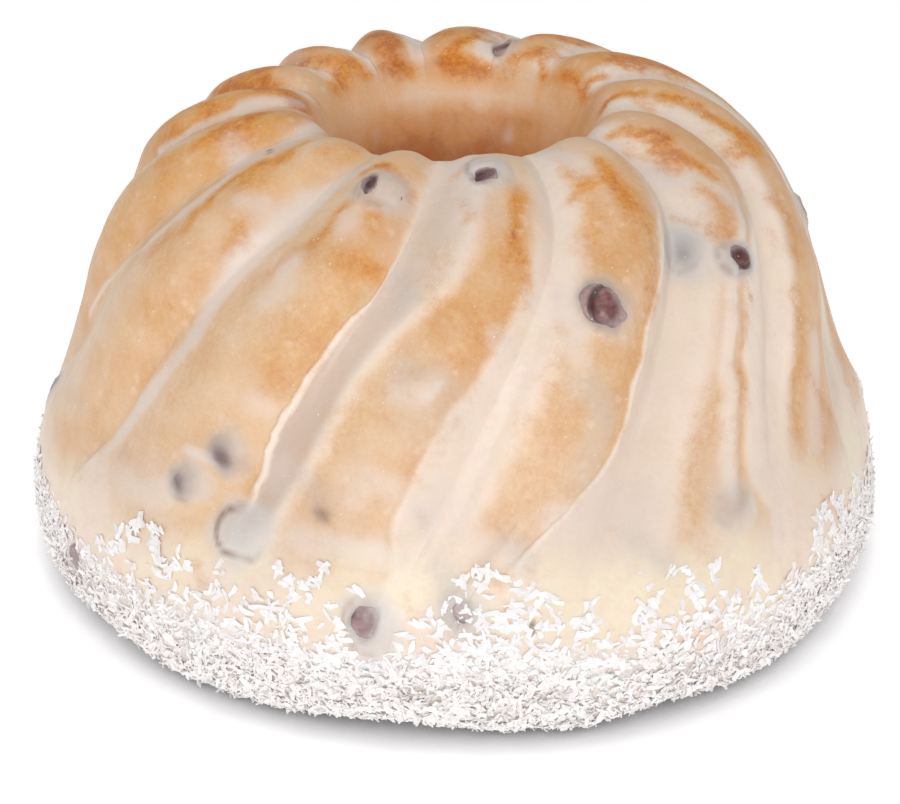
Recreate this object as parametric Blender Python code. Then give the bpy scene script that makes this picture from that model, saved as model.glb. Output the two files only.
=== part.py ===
"""Glazed yeast babka baked in a twisted, fluted tube mould.

A ring-shaped cake with 14 flutes that twist clockwise on their way down, a funnel-like hole
through the middle, a smooth bulging foot and raisins set into its surface. Each raisin is a
separate solid that sits in its own pocket. Lengths are in metres, +Z is up, and the origin is
the middle of the flat ring that the cake rests on.

Azimuths are measured round the axis from the front (-Y), positive towards +X.
"""
import math

import bmesh
import bpy
import numpy as np

# ---------------------------------------------------------------- driving dimensions
BELLY_R = 0.090          # widest radius, at the bulging foot
FLUTES = 14              # flutes round the cake
FIRST_GROOVE = 17.8      # azimuth of groove 0 at the middle of the crest, degrees
GAP = 0.0003             # clearance between a raisin and its pocket
SAMPLES = (0.0, 0.09, 0.24, 0.40, 0.56, 0.71, 0.84, 0.94)   # points across one flute

# The section of the cake, from the foot of the hole, up its wall, over the crest and down the
# outside to the edge of the base: place along the section, radius and height in belly radii.
SECTION = (
    (-0.65, 0.262, 0.000),   # edge of the base inside the hole
    (-0.58, 0.222, 0.085),   # rounded foot of the hole
    (-0.40, 0.218, 0.360),   # narrow waist of the hole
    (-0.20, 0.240, 0.690),
    (-0.05, 0.284, 0.930),
    (0.00, 0.318, 1.000),    # lip
    (0.10, 0.426, 1.050),    # crest
    (0.22, 0.604, 0.996),    # shoulder
    (0.34, 0.741, 0.876),
    (0.47, 0.838, 0.682),
    (0.62, 0.909, 0.462),    # side
    (0.78, 0.998, 0.223),    # belly
    (0.90, 0.974, 0.042),    # turned under
    (1.00, 0.850, 0.000),    # edge of the base
)
# Depth of the grooves below the flutes' ridges, in belly radii.
GROOVE_DEPTH = (
    (-0.65, 0.000), (-0.20, 0.002), (-0.05, 0.007), (0.02, 0.024), (0.10, 0.048), (0.20, 0.062),
    (0.34, 0.066), (0.47, 0.062), (0.60, 0.048), (0.68, 0.026), (0.76, 0.007), (0.84, 0.000),
    (1.00, 0.000),
)
# How far the flutes have turned, in degrees.
TWIST = (
    (-0.65, 7.5), (0.00, 6.6), (0.10, 5.0), (0.20, 2.0), (0.30, -3.2), (0.45, -13.0),
    (0.60, -21.0), (0.78, -29.0), (1.00, -33.0),
)
# Each flute's own error: groove azimuth in degrees, how it leans lower down in degrees per unit
# of section, groove depth and ridge height as factors, and how much further its groove has
# turned where it starts at the crest, in degrees. Groove 0 is the one in front, right of the
# middle, and the numbers run towards +X.
UNEVEN = (
    (1.6, 1.0, 1.04, 0.10, -0.4), (-0.4, -6.0, 1.10, 0.02, 0.6), (1.2, 3.0, 1.06, 0.06, 7.5),
    (-1.8, 0.0, 0.95, -0.04, 11.5), (3.0, 2.0, 0.92, -0.10, 11.5), (6.0, 4.0, 1.06, -0.06, 8.0),
    (7.0, -3.0, 0.98, 0.02, 6.5), (5.0, 2.0, 1.08, -0.12, 6.0), (3.0, 0.0, 0.94, -0.16, 3.0),
    (0.5, -4.0, 1.03, -0.12, 0.0), (-1.0, 3.0, 0.97, -0.04, -1.5), (-2.2, -3.0, 0.96, -0.02, -2.0),
    (-0.6, 0.0, 1.00, 0.03, -0.6), (0.9, 12.0, 1.06, 0.00, -0.2),
)
CREST_TURN = ((-0.65, 1.0), (0.12, 1.0), (0.36, 0.0), (1.00, 0.0))
# Bulges and hollows of the foot: azimuth, half width in degrees, size in belly radii.
FOOT_LOBES = ((38.0, 24.0, 0.030), (-20.0, 18.0, -0.008), (152.0, 30.0, 0.007), (-118.0, 26.0, -0.009),
              (-150.0, 20.0, 0.006), (82.0, 22.0, 0.006))
# Places where the foot's edge lifts off the table: azimuth, half width, how far in the base starts.
FOOT_LIFTS = ((-9.0, 9.0, 0.050), (27.0, 5.0, 0.060), (-52.0, 8.0, 0.035), (118.0, 10.0, 0.050),
              (-160.0, 9.0, 0.045), (70.0, 6.0, 0.030), (172.0, 7.0, 0.040))

# The raisins: azimuth, place along the section, length, width and thickness in millimetres,
# turn in the surface in degrees, and how deep the middle sits below the surface in millimetres.
RAISINS = (
    (22.9, 0.354, 11.0, 9.0, 7.0, 60.0, 1.9),
    (50.4, 0.352, 8.5, 7.0, 6.0, 20.0, 1.6),
    (43.2, 0.306, 10.0, 8.0, 6.0, -30.0, 2.0),
    (8.2, 0.130, 9.5, 7.5, 6.0, 80.0, 1.6),
    (-15.9, 0.172, 10.0, 8.0, 6.5, 10.0, 2.0),
    (-28.0, 0.662, 11.5, 9.5, 7.0, 5.0, 1.7),
    (-31.8, 0.566, 8.5, 7.0, 5.5, 40.0, 1.7),
    (-36.9, 0.616, 9.0, 7.0, 5.5, -20.0, 1.9),
    (-10.1, 0.748, 11.5, 9.5, 7.0, 70.0, 2.2),
    (37.4, 0.645, 10.0, 8.0, 6.0, -10.0, 2.0),
    (-57.3, 0.820, 9.5, 8.0, 6.0, 0.0, 1.6),
    (0.6, 0.722, 10.0, 8.0, 6.0, 85.0, 2.0),
    (163.0, 0.075, 9.0, 7.0, 6.0, 80.0, 1.6),
    (92.0, 0.420, 9.5, 8.0, 6.5, 35.0, 1.8),
    (108.0, 0.640, 10.5, 8.5, 6.5, -40.0, 1.9),
    (131.0, 0.250, 9.0, 7.5, 6.0, 65.0, 1.7),
    (149.0, 0.560, 11.0, 9.0, 7.0, 15.0, 2.0),
    (-168.0, 0.380, 9.5, 8.0, 6.0, 50.0, 1.7),
    (-150.0, 0.690, 10.5, 9.0, 6.5, -60.0, 2.0),
    (-128.0, 0.300, 9.0, 7.0, 6.0, 25.0, 1.8),
    (-104.0, 0.520, 10.0, 8.5, 6.5, 75.0, 1.9),
    (-84.0, 0.700, 9.5, 8.0, 6.0, -15.0, 1.8),
)


# ---------------------------------------------------------------- curves through named sizes
def spline(knots, column, s):
    """Natural cubic spline through one column of a table whose first column is the place."""
    x = np.array([k[0] for k in knots], float)
    y = np.array([k[column] for k in knots], float)
    n = len(x)
    h = np.diff(x)
    a = np.zeros((n, n))
    b = np.zeros(n)
    a[0, 0] = a[-1, -1] = 1.0
    for i in range(1, n - 1):
        a[i, i - 1], a[i, i], a[i, i + 1] = h[i - 1], 2.0 * (h[i - 1] + h[i]), h[i]
        b[i] = 6.0 * ((y[i + 1] - y[i]) / h[i] - (y[i] - y[i - 1]) / h[i - 1])
    m = np.linalg.solve(a, b)
    s = np.asarray(s, float)
    i = np.clip(np.searchsorted(x, s) - 1, 0, n - 2)
    u, v = x[i + 1] - s, s - x[i]
    return (m[i] * u ** 3 + m[i + 1] * v ** 3) / (6.0 * h[i]) + (y[i] / h[i] - m[i] * h[i] / 6.0) * u \
        + (y[i + 1] / h[i] - m[i + 1] * h[i] / 6.0) * v


def monotone(knots, s):
    """Curve through (place, value) knots that never overshoots them."""
    x = np.array([k[0] for k in knots], float)
    y = np.array([k[1] for k in knots], float)
    d = np.diff(y) / np.diff(x)
    g = np.zeros(len(x))
    same = d[:-1] * d[1:] > 0
    g[1:-1] = np.where(same, 2.0 * d[:-1] * d[1:] / np.where(same, d[:-1] + d[1:], 1.0), 0.0)
    s = np.asarray(s, float)
    i = np.clip(np.searchsorted(x, s) - 1, 0, len(x) - 2)
    h = x[i + 1] - x[i]
    t = np.clip((s - x[i]) / h, 0.0, 1.0)
    return (2 * t ** 3 - 3 * t ** 2 + 1) * y[i] + (t ** 3 - 2 * t ** 2 + t) * h * g[i] \
        + (3 * t ** 2 - 2 * t ** 3) * y[i + 1] + (t ** 3 - t ** 2) * h * g[i + 1]


def hump(azimuth, middle, half_width):
    """Smooth bump round the axis: 1 at the middle, 0 at twice the half width."""
    away = np.abs((np.asarray(azimuth, float) - middle + 180.0) % 360.0 - 180.0) / (2.0 * half_width)
    return np.where(away < 1.0, 0.5 + 0.5 * np.cos(np.pi * np.minimum(away, 1.0)), 0.0)


# ---------------------------------------------------------------- the cake's surface
def groove_azimuth(k, s):
    """Azimuth in degrees of groove k at place s; k counts on past a full turn."""
    turn, own = divmod(k, FLUTES)
    shift, lean, _, _, crest = UNEVEN[own]
    return FIRST_GROOVE + 360.0 * turn + own * 360.0 / FLUTES + shift + lean * (s - 0.45) \
        + crest * monotone(CREST_TURN, s) + monotone(TWIST, s)


def ridge(w):
    """Section of one flute across its width w, 0 in both grooves and 1 on the ridge, which lies
    a little towards +X, so that flank is the steeper one."""
    return np.sin(np.pi * np.clip(w, 0.0, 1.0) ** 1.24) ** 0.74


def waviness(x, y, z):
    """Gentle unevenness of risen dough, about +-1."""
    return (np.sin(61.0 * x + 34.0 * z + 0.7) * np.cos(52.0 * y - 21.0 * z + 1.9)
            + 0.7 * np.sin(97.0 * y + 63.0 * x + 2.3) * np.cos(88.0 * z - 40.0 * x + 0.4)) / 1.7


def cake_point(k, w, s):
    """Point of the cake's surface in flute k (between grooves k and k + 1), at width w, place s."""
    az_deg = groove_azimuth(k, s) * (1.0 - w) + groove_azimuth(k + 1, s) * w
    az = math.radians(az_deg)
    step = 1e-4
    r, z = float(spline(SECTION, 1, s)), float(spline(SECTION, 2, s))
    dr = float(spline(SECTION, 1, s + step) - spline(SECTION, 1, s - step))
    dz = float(spline(SECTION, 2, s + step) - spline(SECTION, 2, s - step))
    size = math.hypot(dr, dz)
    nr, nz = -dz / size, dr / size
    here, after = UNEVEN[k % FLUTES], UNEVEN[(k + 1) % FLUTES]
    depth = float(monotone(GROOVE_DEPTH, s))
    lobe = float(ridge(w))
    move = -depth * (here[2] * (1.0 - w) + after[2] * w) * (1.0 - lobe) + depth * here[3] * lobe
    on_base = s <= SECTION[0][0] + 1e-9 or s >= SECTION[-1][0] - 1e-9
    if not on_base:
        fade = min(1.0, (s - SECTION[0][0]) / 0.15, (SECTION[-1][0] - s) / 0.15)
        x, y = BELLY_R * r * math.sin(az), -BELLY_R * r * math.cos(az)
        move += 0.0075 * fade * float(waviness(x, y, BELLY_R * z))
    r, z = r + move * nr, z + move * nz
    low = float(monotone(((0.45, 0.0), (0.80, 1.0), (1.00, 1.0)), s)) if s > 0.45 else 0.0
    for middle, half, much in FOOT_LOBES:
        r += low * much * float(hump(az_deg, middle, half))
    under = float(monotone(((0.84, 0.0), (0.95, 0.6), (1.00, 1.0)), s)) if s > 0.84 else 0.0
    for middle, half, much in FOOT_LIFTS:
        lift = float(hump(az_deg, middle, half))
        r -= under * much * lift
        if not on_base:
            z += 0.35 * much * lift * under
    return (BELLY_R * r * math.sin(az), -BELLY_R * r * math.cos(az), 0.0 if on_base else max(BELLY_R * z, 0.0004))


def cake_frame(az_deg, s):
    """Point, outward normal and the direction down the side, at an azimuth and a place."""
    def at(a, q):
        k = 0
        while groove_azimuth(k + 1, q) <= a:
            k += 1
        while groove_azimuth(k, q) > a:
            k -= 1
        g0, g1 = groove_azimuth(k, q), groove_azimuth(k + 1, q)
        return np.array(cake_point(k, float((a - g0) / (g1 - g0)), q))
    p = at(az_deg, s)
    across = at(az_deg + 3.0, s) - at(az_deg - 3.0, s)
    down = at(az_deg, s + 0.02) - at(az_deg, s - 0.02)
    normal = np.cross(down, across)
    normal /= np.linalg.norm(normal)
    down /= np.linalg.norm(down)
    return p, normal, down


# ---------------------------------------------------------------- objects
def material(name, colour, roughness):
    mat = bpy.data.materials.new(name)
    mat.use_nodes = True
    shader = mat.node_tree.nodes["Principled BSDF"]
    shader.inputs["Base Color"].default_value = (*colour, 1.0)
    shader.inputs["Roughness"].default_value = roughness
    shader.inputs["Metallic"].default_value = 0.0
    return mat


def add_object(name, verts, faces, mat=None):
    mesh = bpy.data.meshes.new(name)
    mesh.from_pydata([tuple(v) for v in verts], [], faces)
    bm = bmesh.new()
    bm.from_mesh(mesh)
    bmesh.ops.recalc_face_normals(bm, faces=bm.faces)
    bm.to_mesh(mesh)
    bm.free()
    mesh.shade_smooth()
    ob = bpy.data.objects.new(name, mesh)
    bpy.context.scene.collection.objects.link(ob)
    if mat:
        mesh.materials.append(mat)
    return ob


def section_places():
    inside = (-0.65, -0.58, -0.42, -0.24, -0.10, -0.02)
    crest = (0.04, 0.10, 0.16)
    side = [0.22 + 0.068 * i for i in range(8)]
    foot = (0.755, 0.81, 0.865, 0.92, 0.965, 1.0)
    return (*inside, *crest, *side, *foot)


def build_cake(mat):
    places = section_places()
    columns = [(k, w) for k in range(FLUTES) for w in SAMPLES]
    rows, n = len(places), len(columns)
    verts = [cake_point(k, w, s) for s in places for k, w in columns]
    faces = []
    for i in range(rows):
        j = (i + 1) % rows        # the last strip is the flat ring of the base
        for c in range(n):
            d = (c + 1) % n
            faces.append((i * n + c, i * n + d, j * n + d, j * n + c))
    return add_object("cake", verts, faces, mat)


def raisin_points(row, seed, grow=0.0):
    """A squashed, wrinkled oval; grow moves its skin out, for the pocket."""
    az, s, length, width, thick, turn, sunk = row
    p, normal, down = cake_frame(az, s)
    side = np.cross(normal, down)
    side /= np.linalg.norm(side)
    down = np.cross(side, normal)
    a = math.radians(turn)
    x_axis = math.cos(a) * side + math.sin(a) * down
    y_axis = -math.sin(a) * side + math.cos(a) * down
    centre = p - normal * sunk / 1000.0
    half = np.array([length, width, thick]) / 2000.0
    segments, rings = 9, 6
    points = []
    for i in range(rings + 1):
        lat = math.pi * i / rings
        count = 1 if i in (0, rings) else segments
        for j in range(count):
            lon = 2.0 * math.pi * (j + 0.5 * (i % 2)) / segments
            x, y, z = math.sin(lat) * math.cos(lon), math.sin(lat) * math.sin(lon), math.cos(lat)
            wrinkle = 1.0 + 0.07 * math.sin(3.0 * lon + seed) * math.sin(lat) ** 2 + 0.04 * math.cos(2.0 * lon - 1.7 * seed)
            flat = abs(x) ** 2.4 + abs(y) ** 2.4 + abs(z) ** 2.4
            scale = wrinkle / flat ** (1.0 / 2.4)
            local = np.array([x, y, z]) * scale * (half + grow)
            points.append(centre + local[0] * x_axis + local[1] * y_axis + local[2] * normal)
    faces = []
    ring = lambda i, j: 0 if i == 0 else (1 + (rings - 1) * segments if i == rings else 1 + (i - 1) * segments + j % segments)
    for i in range(rings):
        for j in range(segments):
            if i == 0:
                faces.append((ring(0, 0), ring(1, j), ring(1, j + 1)))
            elif i == rings - 1:
                faces.append((ring(i, j), ring(rings, 0), ring(i, j + 1)))
            elif i % 2:      # this ring is turned by half a step against the next
                faces.append((ring(i, j), ring(i + 1, j + 1), ring(i, j + 1)))
                faces.append((ring(i, j), ring(i + 1, j), ring(i + 1, j + 1)))
            else:
                faces.append((ring(i, j), ring(i + 1, j), ring(i, j + 1)))
                faces.append((ring(i, j + 1), ring(i + 1, j), ring(i + 1, j + 1)))
    return points, faces


def main():
    for ob in list(bpy.data.objects):
        bpy.data.objects.remove(ob, do_unlink=True)
    crumb = material("glazed_cake", (0.76, 0.55, 0.36), 0.42)
    skin = material("raisin", (0.055, 0.022, 0.024), 0.45)
    cake = build_cake(crumb)
    for i, row in enumerate(RAISINS):
        seed = 1.3 * i + 0.4
        points, faces = raisin_points(row, seed)
        add_object(f"raisin_{i + 1:02d}", points, faces, skin)
        # The pocket is the raisin grown by the gap, and a little more where its facets are flat.
        points, faces = raisin_points(row, seed, GAP + 0.00015)
        pocket = add_object(f"pocket_{i + 1:02d}", points, faces)
        pocket.display_type = "WIRE"
        pocket.hide_render = True
        cut = cake.modifiers.new(f"pocket_{i + 1:02d}", "BOOLEAN")
        cut.operation = "DIFFERENCE"
        cut.solver = "EXACT"
        cut.object = pocket


main()
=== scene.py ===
import math

import bpy
import numpy as np
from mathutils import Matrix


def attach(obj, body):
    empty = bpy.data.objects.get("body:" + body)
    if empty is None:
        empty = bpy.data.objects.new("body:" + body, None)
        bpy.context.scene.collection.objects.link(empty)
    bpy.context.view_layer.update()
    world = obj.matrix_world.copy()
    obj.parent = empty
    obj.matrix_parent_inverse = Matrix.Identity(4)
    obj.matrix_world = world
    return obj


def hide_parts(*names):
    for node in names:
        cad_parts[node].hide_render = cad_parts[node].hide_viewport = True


# A ring-shaped yeast cake from a twisted, fluted tube mould: a browned crust under a thin sugar
# glaze that has run into the grooves, raisins in its surface and dried coconut round its foot.
# Lengths are in metres unless a name ends in _mm. Azimuths run from the front (-Y) towards +X.
# The flute coordinate u is k + w: w runs from 0 at groove k to 1 at groove k + 1. The section
# coordinate s runs from the foot of the hole (-0.65) over the crest (0.1) to the base (1.0).

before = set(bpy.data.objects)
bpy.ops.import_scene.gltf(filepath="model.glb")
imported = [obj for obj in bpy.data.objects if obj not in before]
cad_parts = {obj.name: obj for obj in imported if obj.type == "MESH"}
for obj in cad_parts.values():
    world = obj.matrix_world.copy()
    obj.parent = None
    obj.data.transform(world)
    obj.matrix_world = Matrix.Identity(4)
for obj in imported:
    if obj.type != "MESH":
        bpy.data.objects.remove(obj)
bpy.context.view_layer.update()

# ================================================================ shape of the cake
BELLY_R = 0.090
FLUTES = 14
FIRST_GROOVE = 17.8

SECTION = np.array((
    (-0.65, 0.262, 0.000), (-0.58, 0.222, 0.085), (-0.40, 0.218, 0.360), (-0.20, 0.240, 0.690),
    (-0.05, 0.284, 0.930), (0.00, 0.318, 1.000), (0.10, 0.426, 1.050), (0.22, 0.604, 0.996),
    (0.34, 0.741, 0.876), (0.47, 0.838, 0.682), (0.62, 0.909, 0.462), (0.78, 0.998, 0.223),
    (0.90, 0.974, 0.042), (1.00, 0.850, 0.000),
))
GROOVE_DEPTH = (
    (-0.65, 0.000), (-0.20, 0.002), (-0.05, 0.007), (0.02, 0.024), (0.10, 0.048), (0.20, 0.062),
    (0.34, 0.066), (0.47, 0.062), (0.60, 0.048), (0.68, 0.026), (0.76, 0.007), (0.84, 0.000),
    (1.00, 0.000),
)
TWIST = (
    (-0.65, 7.5), (0.00, 6.6), (0.10, 5.0), (0.20, 2.0), (0.30, -3.2), (0.45, -13.0),
    (0.60, -21.0), (0.78, -29.0), (1.00, -33.0),
)
# each flute: groove azimuth, lean, groove depth, ridge height, turn at the crest
UNEVEN = np.array((
    (1.6, 1.0, 1.04, 0.10, -0.4), (-0.4, -6.0, 1.10, 0.02, 0.6), (1.2, 3.0, 1.06, 0.06, 7.5),
    (-1.8, 0.0, 0.95, -0.04, 11.5), (3.0, 2.0, 0.92, -0.10, 11.5), (6.0, 4.0, 1.06, -0.06, 8.0),
    (7.0, -3.0, 0.98, 0.02, 6.5), (5.0, 2.0, 1.08, -0.12, 6.0), (3.0, 0.0, 0.94, -0.16, 3.0),
    (0.5, -4.0, 1.03, -0.12, 0.0), (-1.0, 3.0, 0.97, -0.04, -1.5), (-2.2, -3.0, 0.96, -0.02, -2.0),
    (-0.6, 0.0, 1.00, 0.03, -0.6), (0.9, 12.0, 1.06, 0.00, -0.2),
))
CREST_TURN = ((-0.65, 1.0), (0.12, 1.0), (0.36, 0.0), (1.00, 0.0))
FOOT_LOBES = ((38.0, 24.0, 0.030), (-20.0, 18.0, -0.008), (152.0, 30.0, 0.007), (-118.0, 26.0, -0.009),
              (-150.0, 20.0, 0.006), (82.0, 22.0, 0.006))
FOOT_LIFTS = ((-9.0, 9.0, 0.050), (27.0, 5.0, 0.060), (-52.0, 8.0, 0.035), (118.0, 10.0, 0.050),
              (-160.0, 9.0, 0.045), (70.0, 6.0, 0.030), (172.0, 7.0, 0.040))

# raisins: azimuth, place, length, width, thickness in mm, turn in degrees, how deep in mm; then
# where the skin is bare, to the right and down the side, and how large that window is in half
# widths; how dark the fruit shows through the glaze, how far the glaze stands up round it, and how
# much film is left on the bare skin
RAISINS = (
    (22.9, 0.354, 11.0, 9.0, 7.0, 60.0, 1.9, -0.06, -0.04, 0.86, 0.24, 0.10, 0.10),
    (50.4, 0.352, 8.5, 7.0, 6.0, 20.0, 1.6, 0.20, 0.05, 0.74, 0.30, 0.60, 0.00),
    (43.2, 0.306, 10.0, 8.0, 6.0, -30.0, 2.0, 0.00, 0.00, 0.00, 0.60, 0.30, 0.00),
    (8.2, 0.130, 9.5, 7.5, 6.0, 80.0, 1.6, -0.20, 0.52, 0.36, 0.24, 0.62, 0.10),
    (-15.9, 0.172, 10.0, 8.0, 6.5, 10.0, 2.0, -0.50, -0.10, 0.62, 0.20, 0.50, 0.00),
    (-28.0, 0.662, 11.5, 9.5, 7.0, 5.0, 1.7, 0.00, 0.00, 0.00, 0.14, 1.00, 0.00),
    (-31.8, 0.566, 8.5, 7.0, 5.5, 40.0, 1.7, 0.00, 0.00, 0.00, 1.00, 0.10, 0.45),
    (-36.9, 0.616, 9.0, 7.0, 5.5, -20.0, 1.9, 0.00, 0.00, 0.00, 0.98, 0.35, 0.60),
    (-10.1, 0.748, 11.5, 9.5, 7.0, 70.0, 2.2, -0.20, -0.22, 0.60, 0.42, 0.55, 0.45),
    (37.4, 0.645, 10.0, 8.0, 6.0, -10.0, 2.0, 0.00, 0.00, 0.00, 0.42, 0.20, 0.00),
    (-57.3, 0.820, 9.5, 8.0, 6.0, 0.0, 1.6, 0.00, 0.00, 0.85, 0.50, 0.00, 0.50),
    (0.6, 0.722, 10.0, 8.0, 6.0, 85.0, 2.0, 0.05, 0.00, 0.55, 0.45, 0.00, 0.75),
    (163.0, 0.075, 9.0, 7.0, 6.0, 80.0, 1.6, 0.00, -0.30, 0.75, 0.50, 0.15, 0.10),
    (92.0, 0.420, 9.5, 8.0, 6.5, 35.0, 1.8, 0.20, 0.10, 0.60, 0.40, 0.20, 0.20),
    (108.0, 0.640, 10.5, 8.5, 6.5, -40.0, 1.9, 0.00, 0.00, 0.00, 0.35, 0.80, 0.00),
    (131.0, 0.250, 9.0, 7.5, 6.0, 65.0, 1.7, -0.30, 0.20, 0.50, 0.40, 0.30, 0.05),
    (149.0, 0.560, 11.0, 9.0, 7.0, 15.0, 2.0, 0.00, 0.10, 0.85, 0.50, 0.20, 0.20),
    (-168.0, 0.380, 9.5, 8.0, 6.0, 50.0, 1.7, 0.10, 0.00, 0.75, 0.50, 0.15, 0.05),
    (-150.0, 0.690, 10.5, 9.0, 6.5, -60.0, 2.0, 0.00, 0.00, 0.00, 0.30, 0.90, 0.00),
    (-128.0, 0.300, 9.0, 7.0, 6.0, 25.0, 1.8, 0.40, 0.00, 0.45, 0.40, 0.30, 0.10),
    (-104.0, 0.520, 10.0, 8.5, 6.5, 75.0, 1.9, 0.00, 0.20, 0.55, 0.50, 0.40, 0.30),
    (-84.0, 0.700, 9.5, 8.0, 6.0, -15.0, 1.8, 0.00, 0.00, 0.70, 0.60, 0.30, 0.20),
)


def spline(column, s):
    """Natural cubic spline through one column of the section."""
    x, y = SECTION[:, 0], SECTION[:, column]
    n = len(x)
    h = np.diff(x)
    a = np.zeros((n, n))
    b = np.zeros(n)
    a[0, 0] = a[-1, -1] = 1.0
    for i in range(1, n - 1):
        a[i, i - 1], a[i, i], a[i, i + 1] = h[i - 1], 2.0 * (h[i - 1] + h[i]), h[i]
        b[i] = 6.0 * ((y[i + 1] - y[i]) / h[i] - (y[i] - y[i - 1]) / h[i - 1])
    m = np.linalg.solve(a, b)
    s = np.asarray(s, float)
    i = np.clip(np.searchsorted(x, s) - 1, 0, n - 2)
    u, v = x[i + 1] - s, s - x[i]
    return (m[i] * u ** 3 + m[i + 1] * v ** 3) / (6.0 * h[i]) + (y[i] / h[i] - m[i] * h[i] / 6.0) * u \
        + (y[i + 1] / h[i] - m[i + 1] * h[i] / 6.0) * v


def monotone(knots, s):
    """Curve through (place, value) knots that never overshoots them."""
    x = np.array([k[0] for k in knots], float)
    y = np.array([k[1] for k in knots], float)
    d = np.diff(y) / np.diff(x)
    g = np.zeros(len(x))
    same = d[:-1] * d[1:] > 0
    g[1:-1] = np.where(same, 2.0 * d[:-1] * d[1:] / np.where(same, d[:-1] + d[1:], 1.0), 0.0)
    s = np.asarray(s, float)
    i = np.clip(np.searchsorted(x, s) - 1, 0, len(x) - 2)
    h = x[i + 1] - x[i]
    t = np.clip((s - x[i]) / h, 0.0, 1.0)
    return (2 * t ** 3 - 3 * t ** 2 + 1) * y[i] + (t ** 3 - 2 * t ** 2 + t) * h * g[i] \
        + (3 * t ** 2 - 2 * t ** 3) * y[i + 1] + (t ** 3 - t ** 2) * h * g[i + 1]


def smooth(low, high, x):
    """Smooth step from 0 at low to 1 at high; high may be the smaller one."""
    t = np.clip((x - low) / (high - low), 0.0, 1.0)
    return t * t * (3.0 - 2.0 * t)


def hump(azimuth, middle, half_width):
    away = np.abs((azimuth - middle + 180.0) % 360.0 - 180.0) / (2.0 * half_width)
    return np.where(away < 1.0, 0.5 + 0.5 * np.cos(np.pi * np.minimum(away, 1.0)), 0.0)


def hashed(i, j, k, seed):
    """A steady value from 0 to 1 for each cell of a lattice."""
    n = (i.astype(np.uint64) * np.uint64(73856093)) ^ (j.astype(np.uint64) * np.uint64(19349663)) \
        ^ (k.astype(np.uint64) * np.uint64(83492791)) ^ np.uint64(seed * 977 + 131)
    n = (n ^ (n >> np.uint64(13))) & np.uint64(0xffffffff)
    n = (n * np.uint64(1274126177)) & np.uint64(0xffffffff)
    n = n ^ (n >> np.uint64(16))
    n = (n * np.uint64(2246822519)) & np.uint64(0xffffffff)
    n = n ^ (n >> np.uint64(13))
    return n.astype(float) / 4294967295.0


def noise(p, size, seed=0):
    """Smooth noise from -1 to 1 at points p, with lumps about as large as size."""
    q = np.asarray(p, float) / size
    cell = np.floor(q).astype(np.int64)
    f = q - cell
    f = f * f * f * (f * (f * 6.0 - 15.0) + 10.0)
    cell = cell + 100000
    out = 0.0
    for a in (0, 1):
        for b in (0, 1):
            for c in (0, 1):
                weight = (f[..., 0] if a else 1 - f[..., 0]) * (f[..., 1] if b else 1 - f[..., 1]) \
                    * (f[..., 2] if c else 1 - f[..., 2])
                out = out + weight * hashed(cell[..., 0] + a, cell[..., 1] + b, cell[..., 2] + c, seed)
    return 2.0 * out - 1.0


def fbm(p, size, octaves, seed=0):
    total, most = 0.0, 0.0
    for i in range(octaves):
        total = total + noise(p, size / 2.0 ** i, seed + 7 * i) * 0.55 ** i
        most += 0.55 ** i
    return total / most


def groove_azimuth(k, s):
    turn, own = np.divmod(k, FLUTES)
    row = UNEVEN[own]
    return FIRST_GROOVE + 360.0 * turn + own * 360.0 / FLUTES + row[..., 0] + row[..., 1] * (s - 0.45) \
        + row[..., 4] * monotone(CREST_TURN, s) + monotone(TWIST, s)


def ridge(w):
    return np.sin(np.pi * np.clip(w, 0.0, 1.0) ** 1.24) ** 0.74


def waviness(x, y, z):
    return (np.sin(61.0 * x + 34.0 * z + 0.7) * np.cos(52.0 * y - 21.0 * z + 1.9)
            + 0.7 * np.sin(97.0 * y + 63.0 * x + 2.3) * np.cos(88.0 * z - 40.0 * x + 0.4)) / 1.7


def filled(lobe, k, w, s):
    """Flute section with its creases filled: flat pools in the grooves, and none inside the hole."""
    groove = np.where(w < 0.5, k, k + 1) % FLUTES
    pool = monotone(((-0.65, 1.0), (-0.10, 1.0), (-0.02, 0.70), (0.06, 0.36), (0.16, 0.24), (0.30, 0.22), (0.60, 0.30), (1.00, 0.30)), s)
    hidden = (groove >= 5) & (groove <= 9)
    pool = np.where(hidden & (s > 0.0), pool * (1.0 - 0.7 * smooth(0.0, 0.08, s) * smooth(0.30, 0.16, s)), pool)
    soft = 0.16 + 0.3 * smooth(0.0, -0.1, s)
    both = 0.5 * (lobe + pool + np.sqrt((lobe - pool) ** 2 + soft ** 2))
    return np.minimum(both, 1.0)


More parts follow.
